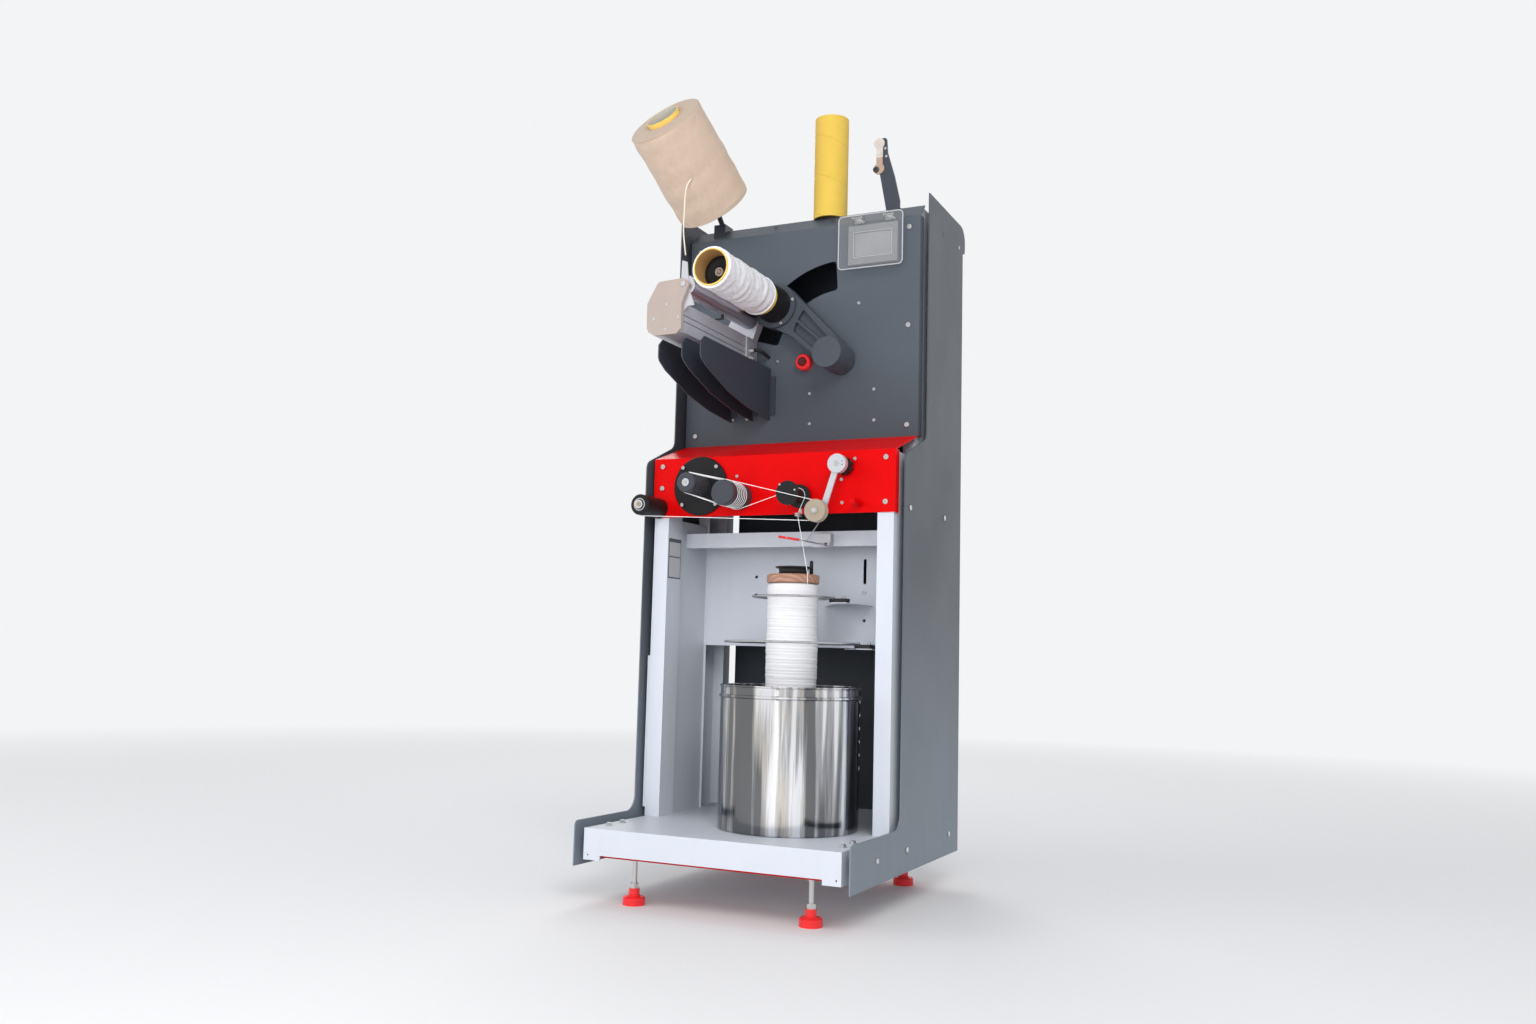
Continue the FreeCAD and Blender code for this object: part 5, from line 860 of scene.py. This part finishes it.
def thread(name, points, spec, body, closed=False):
    # an evenly walked path with a two-ply section: radius times one plus a twist wave round it
    path = np.asarray(points, float)
    path = np.concatenate([path, path[:1]]) if closed else path
    walked = np.concatenate([[0], np.cumsum(np.linalg.norm(np.diff(path, axis=0), axis=1))])
    count = int(walked[-1] / spec["step"])
    where = np.linspace(0, walked[-1], count + 1)[:count + (0 if closed else 1)]
    path = np.stack([np.interp(where, walked, path[:, k]) for k in range(3)], axis=-1)
    ahead = np.roll(path, -1, 0) - np.roll(path, 1, 0) if closed else np.gradient(path, axis=0)
    ahead /= np.linalg.norm(ahead, axis=1)[:, None]
    side = np.cross(ahead, (0, 1, 0))
    side /= np.linalg.norm(side, axis=1)[:, None]
    over = np.cross(side, ahead)
    theta = around(spec["columns"])
    lay = 2 * np.pi * round(walked[-1] / spec["lay"]) / walked[-1]
    section = spec["radius"] * (1 + 0.14 * np.cos(2 * theta[None, :] + lay * where[:, None]))
    rings = path[:, None] + section[..., None] * (np.cos(theta)[None, :, None] * side[:, None]
                                                  + np.sin(theta)[None, :, None] * over[:, None])
    rings = (rings + np.array(originShift)) / 1000
    loop = rings.reshape(-1, 3), gridFaces(len(rings), spec["columns"], closeRows=True)
    shape = loop if closed else capped(rings)
    return meshPiece(name, shape, "whiteYarn", body, replaced="running_yarn")


def runningYarn(stops, spec):
    # spool to separator, the wraps, and the run round the dancer
    x, z, radius = stops["separator"]
    eye = spec["spool"][-1]
    planar = beltPoints([(eye[0], eye[2], 0), stops["guide"], stops["separator"],
                         (x - radius, z + spec["thick"], 0)], spec["supplyY"])
    thread("supplyThread", roundCorners(spec["spool"] + planar[1:2], 5) + planar[2:], spec, "machine")
    sunk = [(x, z, radius - spec["thick"]) for x, z, radius in (stops["feed"], stops["separator"])]
    for number in range(spec["wraps"]):
        y = spec["supplyY"] - spec["pitch"] * (number + 1)
        thread(f"rollerWrap{number + 1}", beltPoints(sunk, y, closed=True), spec, "machine", closed=True)
    idlerX, idlerZ, idlerRadius = stops["idler"]
    route = beltPoints([stops["feed"], stops["separator"], stops["dancer"], stops["idler"],
                        (idlerX - idlerRadius, idlerZ + spec["thick"] * 4, 0)], spec["dancerY"])
    piece = thread("dancerThread", route, spec, None)
    y = spec["dancerY"]
    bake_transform(piece)


runningYarn(yarnStops, yarnRun)

knob = {"neck": 34.0, "lip": 42.0, "low": 745.0, "lipLow": 760.0, "high": 764.0, "wall": 3.0, "floor": 751.0,
        "peg": 4.4, "pegHigh": 30.6, "pegAt": (105.2, -76)}


def knobCup(spec):
    # a hollow cup with a thin rolled lip, turned round z, and a round-ended peg beside it
    n, l, w, lip, high, floor = (spec[k] for k in ("neck", "lip", "wall", "lipLow", "high", "floor"))
    edge = (high - lip) / 2
    rows = [(10, spec["low"]), (n, spec["low"]), (n, lip - 5), (n + 1, lip - 1), (n + 3, lip)]
    rows += arc(l - edge, lip + edge, edge, -1, 1, 7)
    rows += [(n + 2, high - 0.4), (n - w, high - 2), (n - w - 1, floor + 1), (n - w - 3, floor), (10, floor)]
    verts, faces = turnedMm(rows, 64)
    meshPiece("knobCup", (verts + canPlace, faces), "blackPlastic", replaced="spool_knob")
    peg = [(spec["peg"], 0.0), (spec["peg"], spec["pegHigh"] - 1.6)]
    peg += arc(0, spec["pegHigh"], spec["peg"], 0, 0.95, 6)
    pegPlace = at(*spec["pegAt"], spec["low"])
    scatter("knobPeg", turnedMm(peg, 24), [(pegPlace, up)], "blackPlastic", replaced="spool_knob")


def stadium(length, depth, low, high, soft, columns):
    # a round-ended bar lying along x: half circles pushed apart, its upper and lower edges rounded
    rows = arc(depth / 2 - soft, low + soft, soft, -1, 0, 4)
    rows += arc(depth / 2 - soft, high - soft, soft, 0, 1, 4)
    points = turnedShape(rows, columns)
    points[..., 0] += np.where(np.cos(around(columns)) > 0, 1, -1) * (length - depth) / 2
    return capped(points / 1000)


clamp = {"places": [(148.5, -48.5, 693.0), (201.4, -18.0, 588.0)], "length": 50, "depth": 30, "thick": 9.5,
         "soft": 1.6, "back": 129.5, "spread": 92, "sheet": 2.1, "screws": (4, 31), "aside": 7.5, "gap": 0.4}


def ringClamps(spec):
    # two bars under the rings, each with a pair of screws on top and a sheet shelf back to the plate
    verts, faces = stadium(spec["length"], spec["depth"], -spec["thick"], -spec["gap"], spec["soft"], 40)
    bars, shelves, screws = [], [], []
    for x, y, z in spec["places"]:
        bars.append((verts + at(x - spec["aside"] + spec["length"] / 2, y, z), faces))
        screws += [(at(x + dx, y - 5, z - spec["gap"]), up) for dx in spec["screws"]]
        outline = [(x + 2, y - 14), (x + 40, y - 14), (x + 40, y + 15), (x + 33, spec["back"]),
                   (x - spec["spread"], spec["back"]), (x + 2, y + 15)]
        top = z - spec["thick"] - 0.1
        sheet = [at(*point, level) for level in (top - spec["sheet"], top) for point in outline]
        sides = [[i, (i + 1) % 6, 6 + (i + 1) % 6, 6 + i] for i in range(6)]
        shelves.append((sheet, [[5, 4, 3, 2, 1, 0], [6, 7, 8, 9, 10, 11]] + sides))
    meshPiece("ringClampBars", joined(bars), "blackPlastic", replaced="ring_holders")
    meshPiece("ringClampShelves", joined(shelves), "pale", replaced="ring_holders", smooth=False)
    scatter("ringClampScrews", screwShape(0.0042, 0.0056, 0.5, 0.3), screws, "zinc", replaced="ring_holders")


knobCup(knob)
ringClamps(clamp)

gripWay = np.array([-0.805, -0.5812, 0.112])
gripSpec = {"from": (87.0, -109.2, 825.7), "length": 29.6, "radius": 2.8, "inner": 1.5, "end": 1.2}


def gripSleeve(spec):
    # a soft sleeve slid over the wire: a tube section with rounded ends along the wire's last run
    inner, end = spec["inner"], spec["end"]
    wall = spec["radius"] - inner
    rows = arc(inner, end, wall, -1, 0, 5, end) + arc(inner, spec["length"] - end, wall, 0, 1, 5, end)
    verts, faces = turnedMm(rows, 24)
    meshPiece("wireGripSleeve", (placed(verts, at(*spec["from"]), gripWay), faces), "redPlastic", "drop_wire")


gripSleeve(gripSpec)

label = {"x": -272.65, "thick": 0.5, "low": 740, "middle": 793, "high": 838, "near": -87, "far": -26,
         "border": 3}


def barePlate(spec):
    # a blank two-part plate: a dark frame with two light fields on it
    x, t, b = spec["x"], spec["thick"], spec["border"]
    boxes("labelFrame", [(at(x, spec["near"], spec["low"]), at(x + t, spec["far"], spec["high"]))],
          "darkPlate", 0.0001)
    fields = [(spec["low"] + b, spec["middle"] - b / 2), (spec["middle"] + b / 2, spec["high"] - b * 3)]
    near, far = spec["near"] + b, spec["far"] - b
    boxes("labelFields", [(at(x + t, near, lo), at(x + 1.6 * t, far, hi)) for lo, hi in fields], "lightPlate",
          0.0001)


barePlate(label)

rail = {"low": (-123.2, -327.5, 1350), "high": (-116.6, -10, 1351.5)}
boxes("housingRail", [(at(*rail["low"]), at(*rail["high"]))], "lightPlate", 0.0003)
airRoute = [(-102, 11, 1318), (-94, 11, 1318), (-84, 13, 1316), (-82, 30, 1310), (-82, 57, 1308)]
tubePath("airElbow", [at(*place) for place in airRoute], 0.0045, "blackPlastic")
print("stage: yarn run and fittings")

chuck = {"radius": 38.5, "hole": 22, "front": -288, "back": -196, "nose": 10.5, "step": 3}


def chuckNose(spec):
    # the chuck's stepped nose inside the tube: a turned profile from its rear face to its middle
    radius, hole, nose, step = (spec[k] for k in ("radius", "hole", "nose", "step"))
    near, far = -spec["front"], -spec["back"]
    middle = at(-49.02, spec["front"], 1428.08)
    rows = [(radius * 0.5, far), (radius, far), (radius, near - step), (radius - step, near),
            (hole + 2, near), (hole, near - step), (nose + 2, near - step), (nose, near - 2),
            (nose, near - 2.5)]
    verts, faces = turnedMm(rows, 48)
    meshPiece("chuckFront", (placed(verts, spindlePlace, front), faces), "blackCoat", "package")
    ring = ringShape(nose / 1000 - 0.0022, 0.0026, 1.5)
    scatter("chuckNoseRing", ring, [(middle, front)], "castBeige", "package")
    bolt = boltShape(0.0042, 0.006, 1.2)
    scatter("chuckNoseBolt", bolt, [(middle + np.array((0, 0.002, 0)), front)], "tan", "package")


chuckNose(chuck)

# a light bead round the clear cover's rim: a painted highlight of the sheet's edge
coverEdgeHighlight = {"left": 111.0, "right": 281.0, "low": 1506.0, "high": 1643.0, "round": 12.0, "y": 31.5,
             "section": 1.55}


def edgeBead(name, spec, look, body):
    # a small round section carried along a rounded rectangle: corner arcs joined by straight runs
    l, r, lo, hi, c = (spec[k] for k in ("left", "right", "low", "high", "round"))
    corners = [(r - c, hi - c), (l + c, hi - c), (l + c, lo + c), (r - c, lo + c)]
    path = np.array([point for k, (x, z) in enumerate(corners) for point in arc(x, z, c, k, k + 1, 8)])
    out = np.array([point for k in range(4) for point in arc(0, 0, 1, k, k + 1, 8)])
    v = around(8)
    s = spec["section"]
    x = path[:, None, 0] + out[:, None, 0] * (s * np.cos(v) - s)
    z = path[:, None, 1] + out[:, None, 1] * (s * np.cos(v) - s)
    y = spec["y"] + s * np.sin(v) + 0 * x
    points = (np.stack([x, y, z], axis=-1) + np.array(originShift)) / 1000
    meshPiece(name, (points.reshape(-1, 3), gridFaces(len(path), 8, closeRows=True)), look, body)


edgeBead("clearCoverEdgeHighlight", coverEdgeHighlight, "lightPlate", "clear_cover")
windowEdge = {"left": 146.5, "right": 248.5, "low": 1537.5, "high": 1603.5, "round": 3.0, "y": 44.6,
              "section": 1.3}
edgeBead("screenFrame", windowEdge, "silver", "machine")
print("stage: cover and chuck")

backdrop = (0.90, 0.905, 0.915, 1)


def studio():
    # a floor that fades into the backdrop, a backdrop brighter to the eye than as a light, and area lamps
    floor = newMesh("studioFloor", [(-40, -40, 0), (40, -40, 0), (40, 40, 0), (-40, 40, 0)], [(0, 1, 2, 3)])
    mat, bsdf, coords = startMaterial("paleFloor", Roughness=0.8, gloss=0.1)
    bsdf.inputs["Base Color"].default_value = (0.80, 0.80, 0.80, 1)
    rays = addNode(bsdf, "ShaderNodeLightPath").outputs
    direct = math2("MAXIMUM", rays["Is Camera Ray"], rays["Is Glossy Ray"])
    far = math2("MULTIPLY", ramp(vector2("LENGTH", coords, outlet=1), 1.3, 6.5), direct)
    glow = addNode(bsdf, "ShaderNodeEmission", {"Color": backdrop, "Strength": 1.0}).outputs[0]
    both = addNode(bsdf, "ShaderNodeMixShader", {0: far, 1: bsdf.outputs[0], 2: glow}).outputs[0]
    connect(both, mat.node_tree.nodes["Material Output"], "Surface")
    floor.data.materials.append(mat)
    world = bpy.data.worlds.new("studioWorld")
    bpy.context.scene.world = world
    world.use_nodes = True
    background = world.node_tree.nodes["Background"]
    rays = addNode(background, "ShaderNodeLightPath").outputs
    seen = math2("MAXIMUM", rays["Is Camera Ray"], rays["Is Glossy Ray"])
    seen = math2("MAXIMUM", seen, rays["Is Transmission Ray"])
    connect(mixColor(seen, (0.56, 0.57, 0.60, 1), backdrop), background, "Color")
    background.inputs["Strength"].default_value = 1.0
    # name, place, width, height, power, seen in reflections
    lamps = [
        ("keyLamp", (2.6, -3.6, 3.4), 2.2, 2.2, 105, False),
        ("fillLamp", (-3.4, -3.0, 2.0), 2.4, 2.4, 50, False),
        ("rimLamp", (-1.6, 3.2, 3.2), 1.8, 1.8, 45, True),
        ("lowLamp", (0.5, -3.6, 0.9), 2.0, 1.4, 42, False),
        ("stripLamp", (0.35, -3.9, 1.0), 0.22, 2.2, 2.2, True),
    ]
    for name, place, wide, tall, power, glossy in lamps:
        data = bpy.data.lights.new(name, "AREA")
        data.energy = power
        data.shape = "RECTANGLE"
        data.size = wide
        data.size_y = tall
        lamp = addObject(name, data)
        lamp.visible_glossy = glossy
        turn = (Vector((0, 0, 0.9)) - Vector(place)).to_track_quat("-Z", "Y").to_matrix().to_4x4()
        lamp.matrix_world = Matrix.Translation(Vector(place)) @ turn


studio()
bpy.context.scene.view_settings.view_transform = "Standard"
print("stage: studio")
